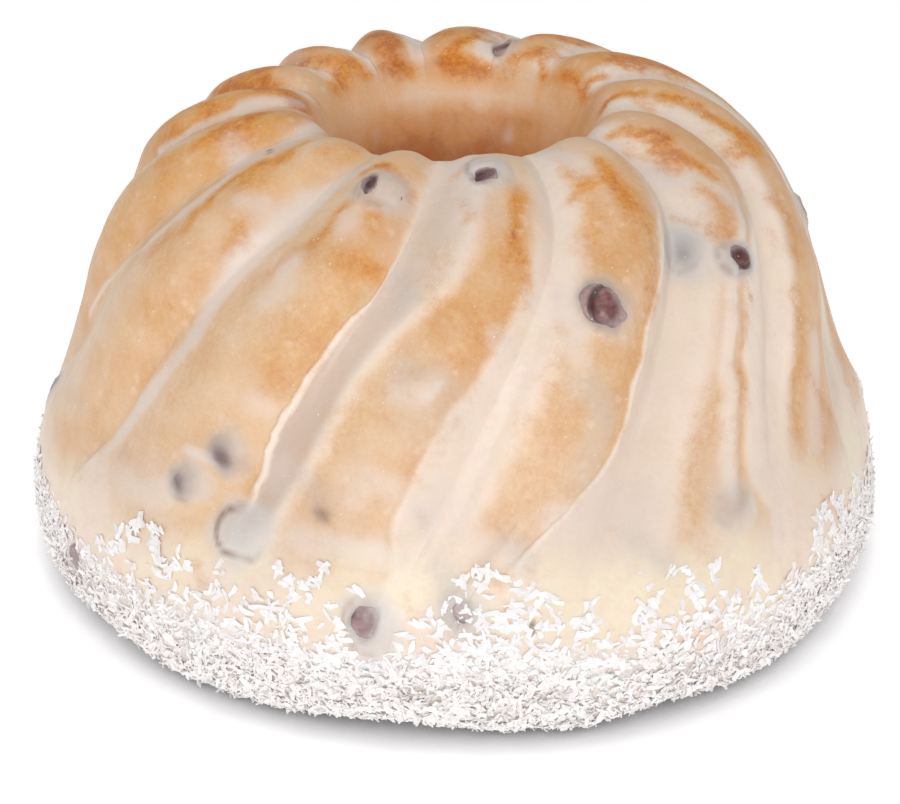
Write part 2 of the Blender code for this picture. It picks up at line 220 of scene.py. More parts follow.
def crust(u, s):
    """Azimuth in degrees and point of the crust, its creases filled."""
    k = np.floor(u).astype(np.int64)
    w = u - k
    az_deg = groove_azimuth(k, s) * (1.0 - w) + groove_azimuth(k + 1, s) * w
    az = np.radians(az_deg)
    step = 1e-4
    r, z = spline(1, s), spline(2, s)
    dr, dz = spline(1, s + step) - spline(1, s - step), spline(2, s + step) - spline(2, s - step)
    size = np.hypot(dr, dz)
    nr, nz = -dz / size, dr / size
    here, after = UNEVEN[k % FLUTES], UNEVEN[(k + 1) % FLUTES]
    depth = monotone(GROOVE_DEPTH, s)
    lobe = filled(ridge(w), k, w, s)
    move = -depth * (here[..., 2] * (1.0 - w) + after[..., 2] * w) * (1.0 - lobe) + depth * here[..., 3] * lobe
    fade = np.clip(np.minimum((s + 0.65) / 0.15, (1.0 - s) / 0.15), 0.0, 1.0)
    move = move + 0.0075 * fade * waviness(BELLY_R * r * np.sin(az), -BELLY_R * r * np.cos(az), BELLY_R * z)
    r, z = r + move * nr, z + move * nz
    low = monotone(((0.45, 0.0), (0.80, 1.0), (1.00, 1.0)), np.maximum(s, 0.45))
    for middle, half, much in FOOT_LOBES:
        r = r + low * much * hump(az_deg, middle, half)
    under = monotone(((0.84, 0.0), (0.95, 0.6), (1.00, 1.0)), np.maximum(s, 0.84))
    for middle, half, much in FOOT_LIFTS:
        lift = hump(az_deg, middle, half)
        r = r - under * much * lift
        z = z + 0.35 * much * lift * under * (s < 0.999)
    slim = 0.0175 * smooth(0.68, 0.86, s) + 0.010 * hump(az_deg, 85.0, 35.0) * smooth(0.40, 0.62, s)
    r = r - slim
    p = np.stack([BELLY_R * r * np.sin(az), -BELLY_R * r * np.cos(az), BELLY_R * z], axis=-1)
    return az_deg, p


FINE_S = np.linspace(-0.65, 1.0, 1651)
FINE_ARC = np.concatenate([[0.0], np.cumsum(np.hypot(np.diff(spline(1, FINE_S)), np.diff(spline(2, FINE_S))))]) * BELLY_R * 1000.0


def arc_mm(s):
    return np.interp(s, FINE_S, FINE_ARC)


def flute_mm(s):
    """Width of one flute."""
    return 2.0 * np.pi / FLUTES * BELLY_R * 1000.0 * np.interp(s, FINE_S, spline(1, FINE_S))


# ================================================================ glaze and browning
# The glaze that has gathered in each groove, as shares of a flute's width at these places: how
# far it reaches to the left of the groove, where it ends in a drip edge, and how far to the
# right, where it thins out. Grooves 0 to 3 and 9 to 13 are seen from the front.
BAND_S = (0.00, 0.15, 0.30, 0.38, 0.45, 0.52, 0.60, 0.68)
BAND_LEFT = (
    (0.10, 0.18, 0.16, 0.17, 0.23, 0.28, 0.27, 0.14),
    (0.12, 0.14, 0.17, 0.22, 0.20, 0.18, 0.36, 0.50),
    (0.10, 0.12, 0.28, 0.44, 0.46, 0.38, 0.32, 0.14),
    (0.10, 0.12, 0.18, 0.26, 0.30, 0.26, 0.18, 0.10),
    (0.08, 0.12, 0.16, 0.18, 0.20, 0.16, 0.12, 0.08),
    (0.06, 0.08, 0.12, 0.16, 0.12, 0.10, 0.10, 0.08),
    (0.08, 0.10, 0.08, 0.10, 0.14, 0.18, 0.14, 0.08),
    (0.06, 0.06, 0.10, 0.08, 0.06, 0.10, 0.12, 0.08),
    (0.08, 0.08, 0.06, 0.10, 0.16, 0.20, 0.16, 0.10),
    (0.04, 0.06, 0.04, 0.04, 0.06, 0.08, 0.08, 0.06),
    (0.06, 0.04, 0.02, 0.00, 0.02, 0.04, 0.04, 0.04),
    (0.04, 0.02, 0.00, -0.01, -0.02, -0.02, -0.02, 0.00),
    (0.04, 0.02, -0.01, -0.03, -0.05, -0.06, -0.06, -0.03),
    (0.08, 0.08, 0.02, 0.08, 0.11, 0.12, 0.07, 0.04),
)
BAND_RIGHT = (
    (0.24, 0.16, 0.17, 0.22, 0.21, 0.18, 0.16, 0.12),
    (0.30, 0.30, 0.28, 0.34, 0.31, 0.28, 0.30, 0.32),
    (0.26, 0.26, 0.26, 0.27, 0.26, 0.20, 0.15, 0.13),
    (0.30, 0.32, 0.30, 0.28, 0.26, 0.24, 0.20, 0.18),
    (0.26, 0.24, 0.24, 0.28, 0.30, 0.34, 0.36, 0.34),
    (0.24, 0.26, 0.26, 0.22, 0.20, 0.22, 0.26, 0.30),
    (0.22, 0.24, 0.30, 0.30, 0.24, 0.18, 0.16, 0.20),
    (0.24, 0.22, 0.22, 0.26, 0.30, 0.28, 0.20, 0.16),
    (0.22, 0.24, 0.22, 0.18, 0.14, 0.12, 0.12, 0.14),
    (0.24, 0.24, 0.20, 0.18, 0.18, 0.20, 0.22, 0.18),
    (0.24, 0.22, 0.20, 0.18, 0.18, 0.18, 0.18, 0.16),
    (0.24, 0.22, 0.18, 0.17, 0.16, 0.16, 0.16, 0.14),
    (0.26, 0.24, 0.20, 0.19, 0.20, 0.20, 0.19, 0.16),
    (0.34, 0.44, 0.44, 0.24, 0.19, 0.18, 0.16, 0.14),
)
# each groove: how sharp its drip edge is, how thick the glaze stands at its right, softness there,
# how fully the glaze covers it, and how much of it has sunk into a channel, painted darker as shade
BAND_FORM = np.array((
    (0.55, 0.30, 0.15, 1.00, 0.15), (0.90, 0.20, 0.20, 1.00, 0.30), (0.50, 0.60, 0.12, 1.00, 0.00),
    (0.60, 0.25, 0.12, 1.00, 0.45), (0.60, 0.30, 0.18, 1.00, 0.40), (0.90, 0.40, 0.12, 1.00, 0.60),
    (0.80, 0.50, 0.12, 0.90, 0.80), (1.00, 0.60, 0.10, 1.00, 0.90), (0.80, 0.50, 0.12, 0.90, 0.70),
    (0.50, 0.40, 0.12, 0.80, 0.60), (0.40, 0.10, 0.06, 0.15, 0.20), (0.35, 0.10, 0.06, 0.10, 0.20),
    (0.40, 0.20, 0.06, 0.10, 0.20), (1.00, 1.00, 0.11, 1.00, 1.00),
))
# each flute: browning of its face, glaze film on it, where the face ends in the plain belly, and
# browning and film near the crest
FACES = np.array((
    (0.38, 0.16, 0.662, 0.34, 0.36), (0.48, 0.16, 0.655, 0.52, 0.20), (0.50, 0.14, 0.665, 0.56, 0.10),
    (0.60, 0.05, 0.670, 0.60, 0.06), (0.42, 0.20, 0.640, 0.50, 0.14), (0.40, 0.22, 0.650, 0.52, 0.12),
    (0.44, 0.16, 0.670, 0.52, 0.14), (0.40, 0.22, 0.640, 0.50, 0.18), (0.44, 0.16, 0.660, 0.48, 0.18),
    (0.50, 0.08, 0.690, 0.56, 0.04), (0.44, 0.10, 0.700, 0.48, 0.10), (0.38, 0.12, 0.700, 0.42, 0.20),
    (0.38, 0.14, 0.684, 0.34, 0.28), (0.38, 0.16, 0.672, 0.28, 0.42),
))

# brush strokes of the surface: strength, half width in mm and the places (u, s) they pass. AMBER is
# browned crust that shows through, GLAZE white strands, COOL watery grey glaze, CREAM yellow tints
# of the belly and DARK small dark specks
AMBER = (
    # left of groove -4
    (1.00, 2.2, (8.81, 0.273), (8.84, 0.212), (8.86, 0.166), (-4.52, 0.109)),
    (1.10, 1.8, (8.92, 0.128), (-4.76, 0.080), (-4.33, 0.048), (-4.19, 0.029)),
    (0.60, 1.4, (-4.47, 0.238), (-4.41, 0.205), (-4.34, 0.180)),
    (0.50, 3.0, (-4.13, 0.253), (-4.09, 0.216), (-4.11, 0.184)), (0.45, 2.0, (-4.30, 0.278), (-4.14, 0.284)),
    # between grooves -4 and -3
    (0.70, 1.8, (-3.44, 0.269), (-3.41, 0.252), (-3.40, 0.241)),
    (0.80, 1.8, (-3.37, 0.218), (-3.37, 0.200), (-3.40, 0.184)),
    (1.00, 2.0, (-3.40, 0.185), (-3.40, 0.167), (-3.43, 0.146)),
    (0.80, 1.4, (-3.44, 0.145), (-3.52, 0.112), (-3.64, 0.079)),
    (0.50, 2.4, (-3.36, 0.161), (-3.21, 0.155), (-3.11, 0.157)), (0.36, 3.0, (-3.41, 0.285), (-3.28, 0.281)),
    (0.32, 4.0, (-3.07, 0.306), (-2.93, 0.307)), (0.35, 3.0, (-3.02, 0.336), (-2.94, 0.356)),
    (0.30, 3.0, (-3.13, 0.380), (-3.08, 0.405)),
    # between grooves -3 and -2
    (1.15, 0.9, (-2.65, 0.170), (-2.64, 0.192), (-2.67, 0.210), (-2.65, 0.233)),
    (0.95, 1.3, (-2.60, 0.192), (-2.56, 0.203)), (0.95, 1.4, (-2.60, 0.258), (-2.57, 0.267)),
    (0.70, 1.0, (-2.64, 0.234), (-2.63, 0.252)), (0.95, 1.3, (-2.60, 0.285), (-2.55, 0.299), (-2.52, 0.309)),
    (0.75, 1.4, (-2.53, 0.318), (-2.60, 0.334), (-2.61, 0.348)),
    (0.70, 2.0, (-2.61, 0.348), (-2.60, 0.365), (-2.64, 0.382)),
    (0.55, 2.8, (-2.55, 0.217), (-2.40, 0.212), (-2.40, 0.202)),
    (1.00, 2.2, (-2.57, 0.176), (-2.52, 0.167), (-2.51, 0.150)),
    (0.80, 1.2, (-2.51, 0.150), (-2.56, 0.126), (-2.60, 0.103)),
    (0.30, 3.0, (-2.31, 0.120), (-2.27, 0.094), (-2.16, 0.072)), (0.40, 1.6, (-2.31, 0.113), (-2.30, 0.094)),
    (0.95, 1.2, (-2.21, 0.274), (-2.14, 0.282), (-2.10, 0.292)), (1.00, 1.4, (-2.16, 0.299), (-2.14, 0.310)),
    (0.50, 2.2, (-2.24, 0.274), (-2.18, 0.282)), (0.50, 3.2, (-2.39, 0.360), (-2.30, 0.382), (-2.19, 0.398)),
    (0.85, 1.1, (-2.19, 0.410), (-2.17, 0.413)), (0.60, 1.4, (-2.30, 0.421), (-2.25, 0.430)),
    (0.60, 1.6, (-2.07, 0.415), (-2.04, 0.416)), (0.55, 3.2, (-2.14, 0.443), (-2.04, 0.455), (-1.97, 0.476)),
    (0.75, 1.8, (-1.95, 0.415), (-1.94, 0.443), (-1.95, 0.471)),
    (0.55, 2.0, (-2.06, 0.493), (-2.04, 0.522), (-1.98, 0.550)),
    (0.50, 1.6, (-2.28, 0.523), (-2.22, 0.555), (-2.18, 0.584), (-2.18, 0.618)),
    (0.40, 2.4, (-2.22, 0.641), (-2.10, 0.641)), (0.35, 2.4, (-2.10, 0.555), (-2.06, 0.569)),
    (0.40, 3.6, (-2.19, 0.336), (-2.14, 0.360)), (0.35, 3.6, (-2.30, 0.453), (-2.25, 0.482)),
    # between grooves -2 and -1
    (0.90, 1.2, (-1.56, 0.202), (-1.60, 0.219), (-1.56, 0.250), (-1.60, 0.268)),
    (0.75, 1.3, (-1.60, 0.268), (-1.68, 0.284), (-1.71, 0.307), (-1.73, 0.327)),
    (0.50, 2.4, (-1.73, 0.334), (-1.75, 0.353)), (0.45, 3.0, (-1.45, 0.286), (-1.34, 0.293)),
    (0.95, 2.4, (-1.21, 0.295), (-1.17, 0.286), (-1.10, 0.291)), (0.80, 1.8, (-1.19, 0.323), (-1.14, 0.325)),
    (0.60, 3.6, (-1.22, 0.341), (-1.22, 0.361), (-1.22, 0.382)),
    (0.80, 1.9, (-1.13, 0.341), (-1.13, 0.364), (-1.13, 0.384), (-1.12, 0.404), (-1.11, 0.422)),
    (0.60, 4.2, (-1.27, 0.384), (-1.25, 0.409), (-1.25, 0.434)), (0.85, 1.6, (-1.28, 0.435), (-1.25, 0.446)),
    (0.60, 2.4, (-1.25, 0.457), (-1.16, 0.459), (-1.15, 0.442)), (0.45, 2.0, (-1.75, 0.433), (-1.69, 0.458)),
    (0.60, 2.6, (-1.75, 0.465), (-1.71, 0.489), (-1.74, 0.517)), (0.65, 1.8, (-1.75, 0.521), (-1.71, 0.525)),
    (0.50, 3.2, (-1.78, 0.571), (-1.68, 0.572), (-1.59, 0.572)),
    (0.55, 2.8, (-1.45, 0.565), (-1.37, 0.557), (-1.35, 0.545)),
    (0.65, 1.6, (-1.16, 0.571), (-1.08, 0.588), (-1.07, 0.608)), (0.40, 3.6, (-1.79, 0.370), (-1.76, 0.393)),
    (0.40, 3.4, (-1.45, 0.394), (-1.44, 0.423)), (0.36, 3.6, (-1.40, 0.524), (-1.40, 0.505)),
    (0.40, 3.0, (-1.84, 0.638), (-1.67, 0.630), (-1.47, 0.608)),
    # round the raisin near the crest
    (1.25, 1.1, (-1.68, 0.136), (-1.59, 0.130), (-1.48, 0.128), (-1.33, 0.141), (-1.24, 0.149)),
    (0.90, 1.0, (-1.13, 0.158), (-1.14, 0.169)), (0.60, 1.2, (-1.48, 0.176), (-1.37, 0.193), (-1.31, 0.202)),
    (0.28, 1.8, (-1.41, 0.200), (-1.33, 0.211), (-1.22, 0.212), (-1.13, 0.191)),
    (0.50, 1.6, (-1.28, 0.224), (-1.23, 0.236)),
    # between grooves -1 and 0
    (0.60, 1.5, (-0.36, 0.159), (-0.28, 0.168), (-0.24, 0.184)),
    (0.90, 1.6, (-0.30, 0.185), (-0.30, 0.220), (-0.28, 0.250)),
    (1.20, 0.9, (-0.28, 0.251), (-0.25, 0.265), (-0.21, 0.281)),
    (1.00, 1.6, (-0.22, 0.281), (-0.16, 0.303), (-0.16, 0.327)),
    (0.75, 3.0, (-0.30, 0.276), (-0.24, 0.306), (-0.23, 0.328)),
    (0.85, 2.8, (-0.16, 0.328), (-0.19, 0.351), (-0.22, 0.367), (-0.26, 0.384)),
    (0.80, 2.6, (-0.25, 0.376), (-0.28, 0.392), (-0.31, 0.401)),
    (1.05, 1.2, (-0.30, 0.399), (-0.37, 0.402), (-0.45, 0.409), (-0.53, 0.418), (-0.59, 0.427)),
    (0.50, 3.4, (-0.31, 0.364), (-0.41, 0.352), (-0.52, 0.350)),
    (0.45, 3.2, (-0.47, 0.381), (-0.55, 0.385), (-0.64, 0.392)),
    (0.55, 3.6, (-0.63, 0.439), (-0.67, 0.457), (-0.73, 0.471)), (0.50, 3.2, (-0.75, 0.489), (-0.76, 0.512)),
    (0.45, 3.2, (-0.84, 0.541), (-0.78, 0.556)), (0.45, 3.0, (-0.40, 0.441), (-0.31, 0.448)),
    (0.40, 2.6, (-0.49, 0.481), (-0.39, 0.484)), (0.55, 3.0, (-0.28, 0.516), (-0.26, 0.501)),
    (0.65, 2.6, (-0.33, 0.534), (-0.26, 0.550)), (0.36, 3.0, (-0.48, 0.538), (-0.48, 0.516)),
    (0.45, 3.4, (-0.55, 0.588), (-0.41, 0.579)), (0.55, 1.5, (-0.66, 0.189), (-0.60, 0.209), (-0.63, 0.220)),
    (0.65, 1.3, (-0.77, 0.125), (-0.71, 0.118), (-0.68, 0.104)),
    (0.40, 3.2, (-0.73, 0.258), (-0.74, 0.281), (-0.73, 0.303)), (0.40, 3.0, (-0.83, 0.577), (-0.78, 0.588)),
    (0.50, 3.0, (-0.24, 0.438), (-0.23, 0.471)), (0.50, 2.4, (-0.78, 0.599), (-0.68, 0.587)),
    (0.35, 3.5, (-0.43, 0.332), (-0.56, 0.343)),
    # between grooves 0 and 1
    (1.15, 1.3, (0.52, 0.150), (0.52, 0.176), (0.53, 0.202), (0.59, 0.228)),
    (0.48, 2.2, (0.63, 0.205), (0.69, 0.226), (0.70, 0.248)),
    (0.80, 1.4, (0.73, 0.262), (0.76, 0.290), (0.75, 0.324), (0.73, 0.347)),
    (0.22, 2.8, (0.60, 0.261), (0.63, 0.287), (0.63, 0.310)), (0.60, 2.0, (0.53, 0.233), (0.55, 0.265)),
    (0.75, 1.6, (0.22, 0.134), (0.29, 0.160), (0.32, 0.177)), (0.60, 1.6, (0.23, 0.174), (0.18, 0.187)),
    (0.50, 1.8, (0.29, 0.208), (0.33, 0.229)), (0.50, 2.4, (0.23, 0.245), (0.27, 0.276)),
    (0.40, 3.0, (0.31, 0.258), (0.40, 0.277), (0.44, 0.299)), (0.65, 2.2, (0.36, 0.302), (0.44, 0.318)),
    (0.95, 1.6, (0.83, 0.359), (0.79, 0.369)), (0.90, 2.2, (0.71, 0.377), (0.74, 0.401), (0.73, 0.423)),
    (0.65, 2.6, (0.63, 0.409), (0.72, 0.433), (0.73, 0.464), (0.78, 0.490)),
    (0.95, 1.2, (0.18, 0.368), (0.21, 0.376)), (0.55, 1.7, (0.20, 0.397), (0.27, 0.416)),
    (0.80, 2.4, (0.26, 0.435), (0.32, 0.440), (0.37, 0.451)), (0.60, 2.2, (0.35, 0.464), (0.44, 0.488)),
    (0.60, 3.0, (0.26, 0.480), (0.36, 0.499), (0.48, 0.516)), (0.60, 1.6, (0.84, 0.504), (0.78, 0.515)),
    (0.45, 3.4, (0.29, 0.539), (0.40, 0.539)), (0.95, 1.3, (0.64, 0.567), (0.69, 0.579)),
    (0.50, 3.2, (0.37, 0.588), (0.35, 0.612)), (0.50, 3.2, (0.48, 0.580), (0.61, 0.574)),
    (0.55, 2.6, (0.45, 0.398), (0.52, 0.407)), (0.45, 3.0, (0.38, 0.347), (0.56, 0.384)),
    # between grooves 1 and 2
    (0.95, 1.5, (1.16, 0.078), (1.29, 0.097), (1.32, 0.129), (1.36, 0.152)),
    (1.15, 1.8, (1.36, 0.152), (1.32, 0.176), (1.35, 0.193)),
    (1.25, 0.9, (1.40, 0.203), (1.44, 0.218), (1.45, 0.233), (1.47, 0.243)),
    (0.85, 1.8, (1.24, 0.178), (1.26, 0.200)), (0.50, 2.0, (1.10, 0.121), (1.15, 0.149)),
    (0.70, 1.2, (1.25, 0.201), (1.36, 0.210)),
    (0.85, 1.4, (1.33, 0.246), (1.40, 0.260), (1.44, 0.277), (1.47, 0.302), (1.43, 0.323)),
    (0.35, 2.4, (1.32, 0.244), (1.25, 0.252)),
    (0.95, 1.2, (1.08, 0.258), (1.18, 0.277), (1.24, 0.292), (1.32, 0.310), (1.40, 0.324)),
    (0.55, 1.8, (1.36, 0.284), (1.39, 0.303)), (0.80, 0.9, (1.55, 0.351), (1.57, 0.382), (1.63, 0.408)),
    (0.85, 1.0, (1.57, 0.409), (1.56, 0.433), (1.53, 0.455)), (0.90, 1.6, (1.53, 0.473), (1.59, 0.505)),
    (0.60, 1.6, (1.60, 0.524), (1.56, 0.540)), (0.45, 1.6, (1.48, 0.384), (1.44, 0.408)),
    (0.75, 2.0, (1.33, 0.541), (1.34, 0.578), (1.37, 0.615)), (0.45, 2.0, (1.37, 0.498), (1.36, 0.523)),
    (0.40, 2.4, (1.48, 0.540), (1.56, 0.580)),
    # between grooves 2 and 3
    (0.85, 1.6, (2.31, 0.129), (2.37, 0.153), (2.37, 0.175)),
    (0.95, 1.3, (2.32, 0.192), (2.36, 0.211), (2.37, 0.225)),
    (1.15, 1.2, (2.41, 0.240), (2.44, 0.260), (2.44, 0.276)), (0.85, 2.0, (2.39, 0.253), (2.25, 0.252)),
    (0.85, 1.2, (2.27, 0.328), (2.37, 0.348), (2.40, 0.359)), (0.90, 0.9, (2.40, 0.367), (2.41, 0.381)),
    (0.50, 2.2, (2.18, 0.365), (2.22, 0.382)), (0.95, 0.9, (2.36, 0.398), (2.36, 0.409)),
    (0.80, 1.6, (2.29, 0.440), (2.32, 0.475), (2.31, 0.513), (2.27, 0.542)),
    (0.45, 1.8, (2.25, 0.573), (2.22, 0.606)), (0.45, 1.6, (3.36, 0.318), (3.29, 0.335)),
    (0.40, 1.5, (2.31, 0.475), (2.27, 0.536), (2.25, 0.596), (2.22, 0.644)),
    # broad tan down the right part of flute 1: partly browning, partly painted shade where the face turns away
    (0.20, 2.4, (1.48, 0.425), (1.45, 0.472), (1.40, 0.522), (1.40, 0.590), (1.42, 0.630)),
    (0.46, 4.0, (0.42, 0.470), (0.44, 0.530), (0.46, 0.610)), (0.30, 4.0, (3.30, 0.690), (3.36, 0.730)),
    (0.38, 5.0, (-3.44, 0.155), (-3.26, 0.175)), (0.45, 2.2, (2.35, 0.330), (2.37, 0.400)),
    (0.35, 3.0, (2.10, 0.205), (2.14, 0.250)), (0.25, 4.0, (-0.56, 0.300), (-0.58, 0.330)), (0.50, 2.4, (3.40, 0.500), (3.38, 0.590), (3.30, 0.670)),
    # right of groove 3
    (0.70, 1.4, (3.44, 0.259), (3.47, 0.282)), (0.60, 1.4, (2.59, 0.282), (2.66, 0.312), (2.68, 0.345)),
    (0.55, 1.4, (3.30, 0.382), (3.27, 0.446)), (0.50, 1.4, (3.35, 0.479), (3.39, 0.509)),
    (0.90, 1.6, (2.43, 0.555), (2.53, 0.590), (2.72, 0.631)), (0.50, 1.4, (2.52, 0.646), (2.48, 0.680)),
    # far crest
    (0.85, 1.6, (6.67, 0.053), (6.48, 0.061)), (0.95, 1.6, (6.67, 0.032), (6.52, 0.007), (6.32, -0.006)),
    (0.60, 1.6, (6.84, 0.006), (6.66, -0.004)),
    (1.25, 0.9, (5.60, 0.027), (5.48, 0.052), (5.33, 0.084), (5.18, 0.087), (5.09, 0.105)),
    (1.10, 1.8, (5.64, 0.007), (5.44, 0.006), (5.23, 0.003), (5.12, -0.009)),
    (0.70, 1.8, (5.48, -0.010), (5.29, -0.016)), (0.90, 1.6, (4.60, 0.027), (4.44, 0.039), (4.36, 0.062)),
    (0.60, 1.6, (4.27, 0.103), (4.16, 0.121)), (0.90, 1.2, (4.20, 0.036), (3.99, 0.002)),
    (0.75, 1.8, (4.23, 0.070), (4.01, 0.070)), (0.95, 1.5, (3.60, 0.015), (3.39, 0.015), (3.16, 0.003)),
    (0.95, 1.6, (3.20, 0.027), (3.16, 0.052)), (0.80, 1.2, (2.97, -0.001), (3.08, -0.015)),
    (0.80, 1.6, (3.31, 0.113), (3.29, 0.137)), (0.90, 2.2, (7.65, 0.049), (7.75, 0.016), (8.14, 0.004)),
    (0.85, 1.6, (7.44, 0.028), (7.32, 0.002)), (0.60, 1.6, (7.77, 0.215), (7.87, 0.135)),
    (0.60, 1.6, (7.95, 0.125), (7.83, 0.085)),
    (0.85, 0.9, (2.20, 0.005), (2.36, 0.028), (2.36, 0.054), (2.35, 0.092)),
    (0.60, 1.5, (2.23, 0.088), (2.07, 0.106)), (0.55, 2.0, (4.70, -0.009), (4.44, 0.004)),
    # belly
    (0.80, 1.6, (-1.10, 0.716), (-1.07, 0.727), (-1.02, 0.742)), (0.35, 3.0, (-1.36, 0.681), (-1.27, 0.681)),
    (0.65, 1.3, (0.02, 0.700), (0.08, 0.717)), (0.50, 1.2, (0.12, 0.696), (0.15, 0.708)),
    (0.90, 1.2, (0.32, 0.678), (0.36, 0.673)), (0.85, 1.5, (0.49, 0.681), (0.53, 0.680)),
    (0.55, 1.8, (0.56, 0.655), (0.62, 0.669)), (0.55, 2.2, (0.56, 0.762), (0.62, 0.777)),
    (0.65, 1.6, (0.59, 0.716), (0.66, 0.737)), (0.55, 2.2, (0.81, 0.764), (0.89, 0.779)),
    (0.55, 1.4, (1.01, 0.630), (1.07, 0.639)), (0.50, 2.6, (1.52, 0.790), (1.60, 0.809)),
    (0.45, 3.2, (1.39, 0.637), (1.47, 0.678)), (0.40, 3.0, (2.35, 0.714), (2.47, 0.718)),
    (0.35, 3.0, (2.07, 0.755), (1.99, 0.779)), (0.35, 3.5, (-0.68, 0.688), (-0.47, 0.681)),
    (0.35, 3.5, (-0.56, 0.646), (-0.43, 0.629), (-0.27, 0.619)), (0.45, 2.0, (-2.04, 0.702), (-1.99, 0.705)),
    (0.40, 3.0, (1.14, 0.769), (1.36, 0.782)), (0.35, 3.0, (0.22, 0.760), (0.40, 0.779)),
)
GLAZE = (
    (0.95, 1.3, (-1.44, 0.573), (-1.30, 0.572)), (0.60, 2.2, (2.49, 0.515), (2.44, 0.589), (2.40, 0.647)),
    (0.45, 3.2, (1.22, 0.215), (1.27, 0.262)), (0.75, 2.4, (0.20, 0.075), (0.28, 0.110), (0.34, 0.150)),
    # groove -4
    (0.85, 1.5, (-4.22, 0.032), (-4.14, 0.071), (-4.13, 0.105), (-4.09, 0.141)),
    (0.85, 0.8, (-4.09, 0.141), (-4.08, 0.175), (-4.08, 0.209), (-4.05, 0.249), (-4.08, 0.298)),
    # groove -3
    (0.85, 2.6, (-3.20, 0.027), (-2.97, 0.077), (-2.84, 0.128), (-2.90, 0.160), (-2.97, 0.180)),
    (0.85, 1.7, (-2.93, 0.184), (-2.79, 0.220), (-2.75, 0.258), (-2.76, 0.294)),
    (0.80, 1.0, (-2.76, 0.294), (-2.75, 0.332), (-2.79, 0.368)),
    (0.70, 0.6, (-2.79, 0.368), (-2.97, 0.418), (-3.05, 0.480), (-3.10, 0.556)),
    # groove -2
    (0.90, 2.4, (-1.82, 0.125), (-1.93, 0.155), (-1.99, 0.193)),
    (0.95, 2.6, (-1.99, 0.193), (-2.03, 0.229), (-2.04, 0.275), (-2.04, 0.316)),
    (0.90, 2.3, (-2.04, 0.316), (-1.99, 0.359), (-1.95, 0.399), (-1.90, 0.434)),
    (0.90, 1.8, (-1.90, 0.434), (-1.91, 0.468), (-1.92, 0.509), (-1.94, 0.554)),
    (0.90, 1.5, (-1.94, 0.554), (-1.96, 0.603), (-1.95, 0.646), (-1.95, 0.680)),
    # dashes
    (0.60, 1.2, (-2.08, 0.314), (-2.07, 0.299)), (0.55, 1.4, (-1.90, 0.240), (-1.94, 0.257)),
    (0.50, 3.0, (-0.55, 0.439), (-0.47, 0.443)), (0.55, 2.0, (-0.19, 0.374), (-0.16, 0.382)),
    (0.45, 2.4, (-1.49, 0.216), (-1.43, 0.236)), (0.50, 2.6, (-3.21, 0.174), (-3.07, 0.174)),
    (0.50, 2.4, (-2.36, 0.236), (-2.24, 0.232)), (0.55, 2.2, (-1.64, 0.300), (-1.64, 0.317)),
    (0.45, 3.0, (-1.52, 0.343), (-1.60, 0.360)), (0.50, 3.2, (-0.51, 0.587), (-0.47, 0.555), (-0.34, 0.563)),
    (0.60, 2.4, (0.29, 0.393), (0.33, 0.402)), (0.45, 3.0, (-1.27, 0.479), (-1.19, 0.488)),
    (0.55, 1.2, (-0.39, 0.442), (-0.37, 0.429)), (0.65, 2.0, (0.14, 0.336), (0.22, 0.365), (0.32, 0.382)),
    (0.60, 1.8, (1.29, 0.224), (1.44, 0.250), (1.51, 0.278)), (0.50, 2.4, (0.83, 0.234), (1.05, 0.248)),
    # belly
    (0.85, 3.4, (-0.39, 0.656), (-0.22, 0.656)), (0.85, 4.0, (0.96, 0.665), (1.20, 0.679)),
    (0.70, 4.6, (-1.73, 0.669), (-1.57, 0.663), (-1.45, 0.647)), (0.75, 3.6, (-0.67, 0.653), (-0.52, 0.654)),
    (0.85, 2.6, (1.76, 0.663), (1.74, 0.681)), (0.70, 4.4, (0.24, 0.645), (0.43, 0.653)),
    (0.60, 3.0, (-0.99, 0.557), (-0.95, 0.590), (-0.90, 0.613)),
    (0.80, 4.0, (0.66, 0.607), (0.98, 0.607), (1.18, 0.621)), (0.75, 4.5, (-0.07, 0.580), (0.08, 0.620)),
    (0.70, 3.0, (-0.10, 0.672), (0.03, 0.680)),
)
COOL = (
    (0.80, 4.6, (1.07, 0.290), (1.15, 0.320)), (0.75, 2.0, (0.90, 0.316), (1.16, 0.348)),
    (0.55, 3.0, (1.12, 0.177), (1.16, 0.203)), (0.45, 3.6, (1.76, 0.324), (1.63, 0.303)),
    (0.50, 3.0, (0.49, 0.442), (0.59, 0.459), (0.67, 0.485)), (0.40, 3.0, (0.66, 0.525), (0.70, 0.553)),
    (0.50, 2.6, (-0.77, 0.575), (-0.68, 0.596)), (0.22, 1.8, (-0.13, 0.599), (-0.10, 0.606)),
    (0.50, 2.0, (-0.91, 0.293), (-0.80, 0.318)), (0.25, 3.0, (1.52, 0.590), (1.51, 0.614), (1.56, 0.638)),
    (0.55, 2.2, (-1.28, 0.532), (-1.24, 0.539)), (0.45, 2.4, (-0.57, 0.417), (-0.39, 0.417)),
    (0.35, 5.0, (-0.30, 0.459), (-0.37, 0.472)), (0.15, 4.0, (1.18, 0.653), (1.29, 0.671)),
    (0.15, 2.6, (-2.63, 0.628), (-2.34, 0.622)),
    # belly
    (0.35, 2.0, (1.12, 0.646), (1.22, 0.665), (1.33, 0.689)), (0.45, 2.4, (0.48, 0.639), (0.56, 0.655)),
    (0.40, 2.6, (0.14, 0.672), (0.25, 0.688)), (0.55, 3.0, (0.29, 0.714), (0.43, 0.724)),
    # crest
    (0.45, 2.0, (-0.80, 0.327), (-0.81, 0.345)), (0.40, 3.0, (-0.61, 0.185), (-0.56, 0.176)),
)
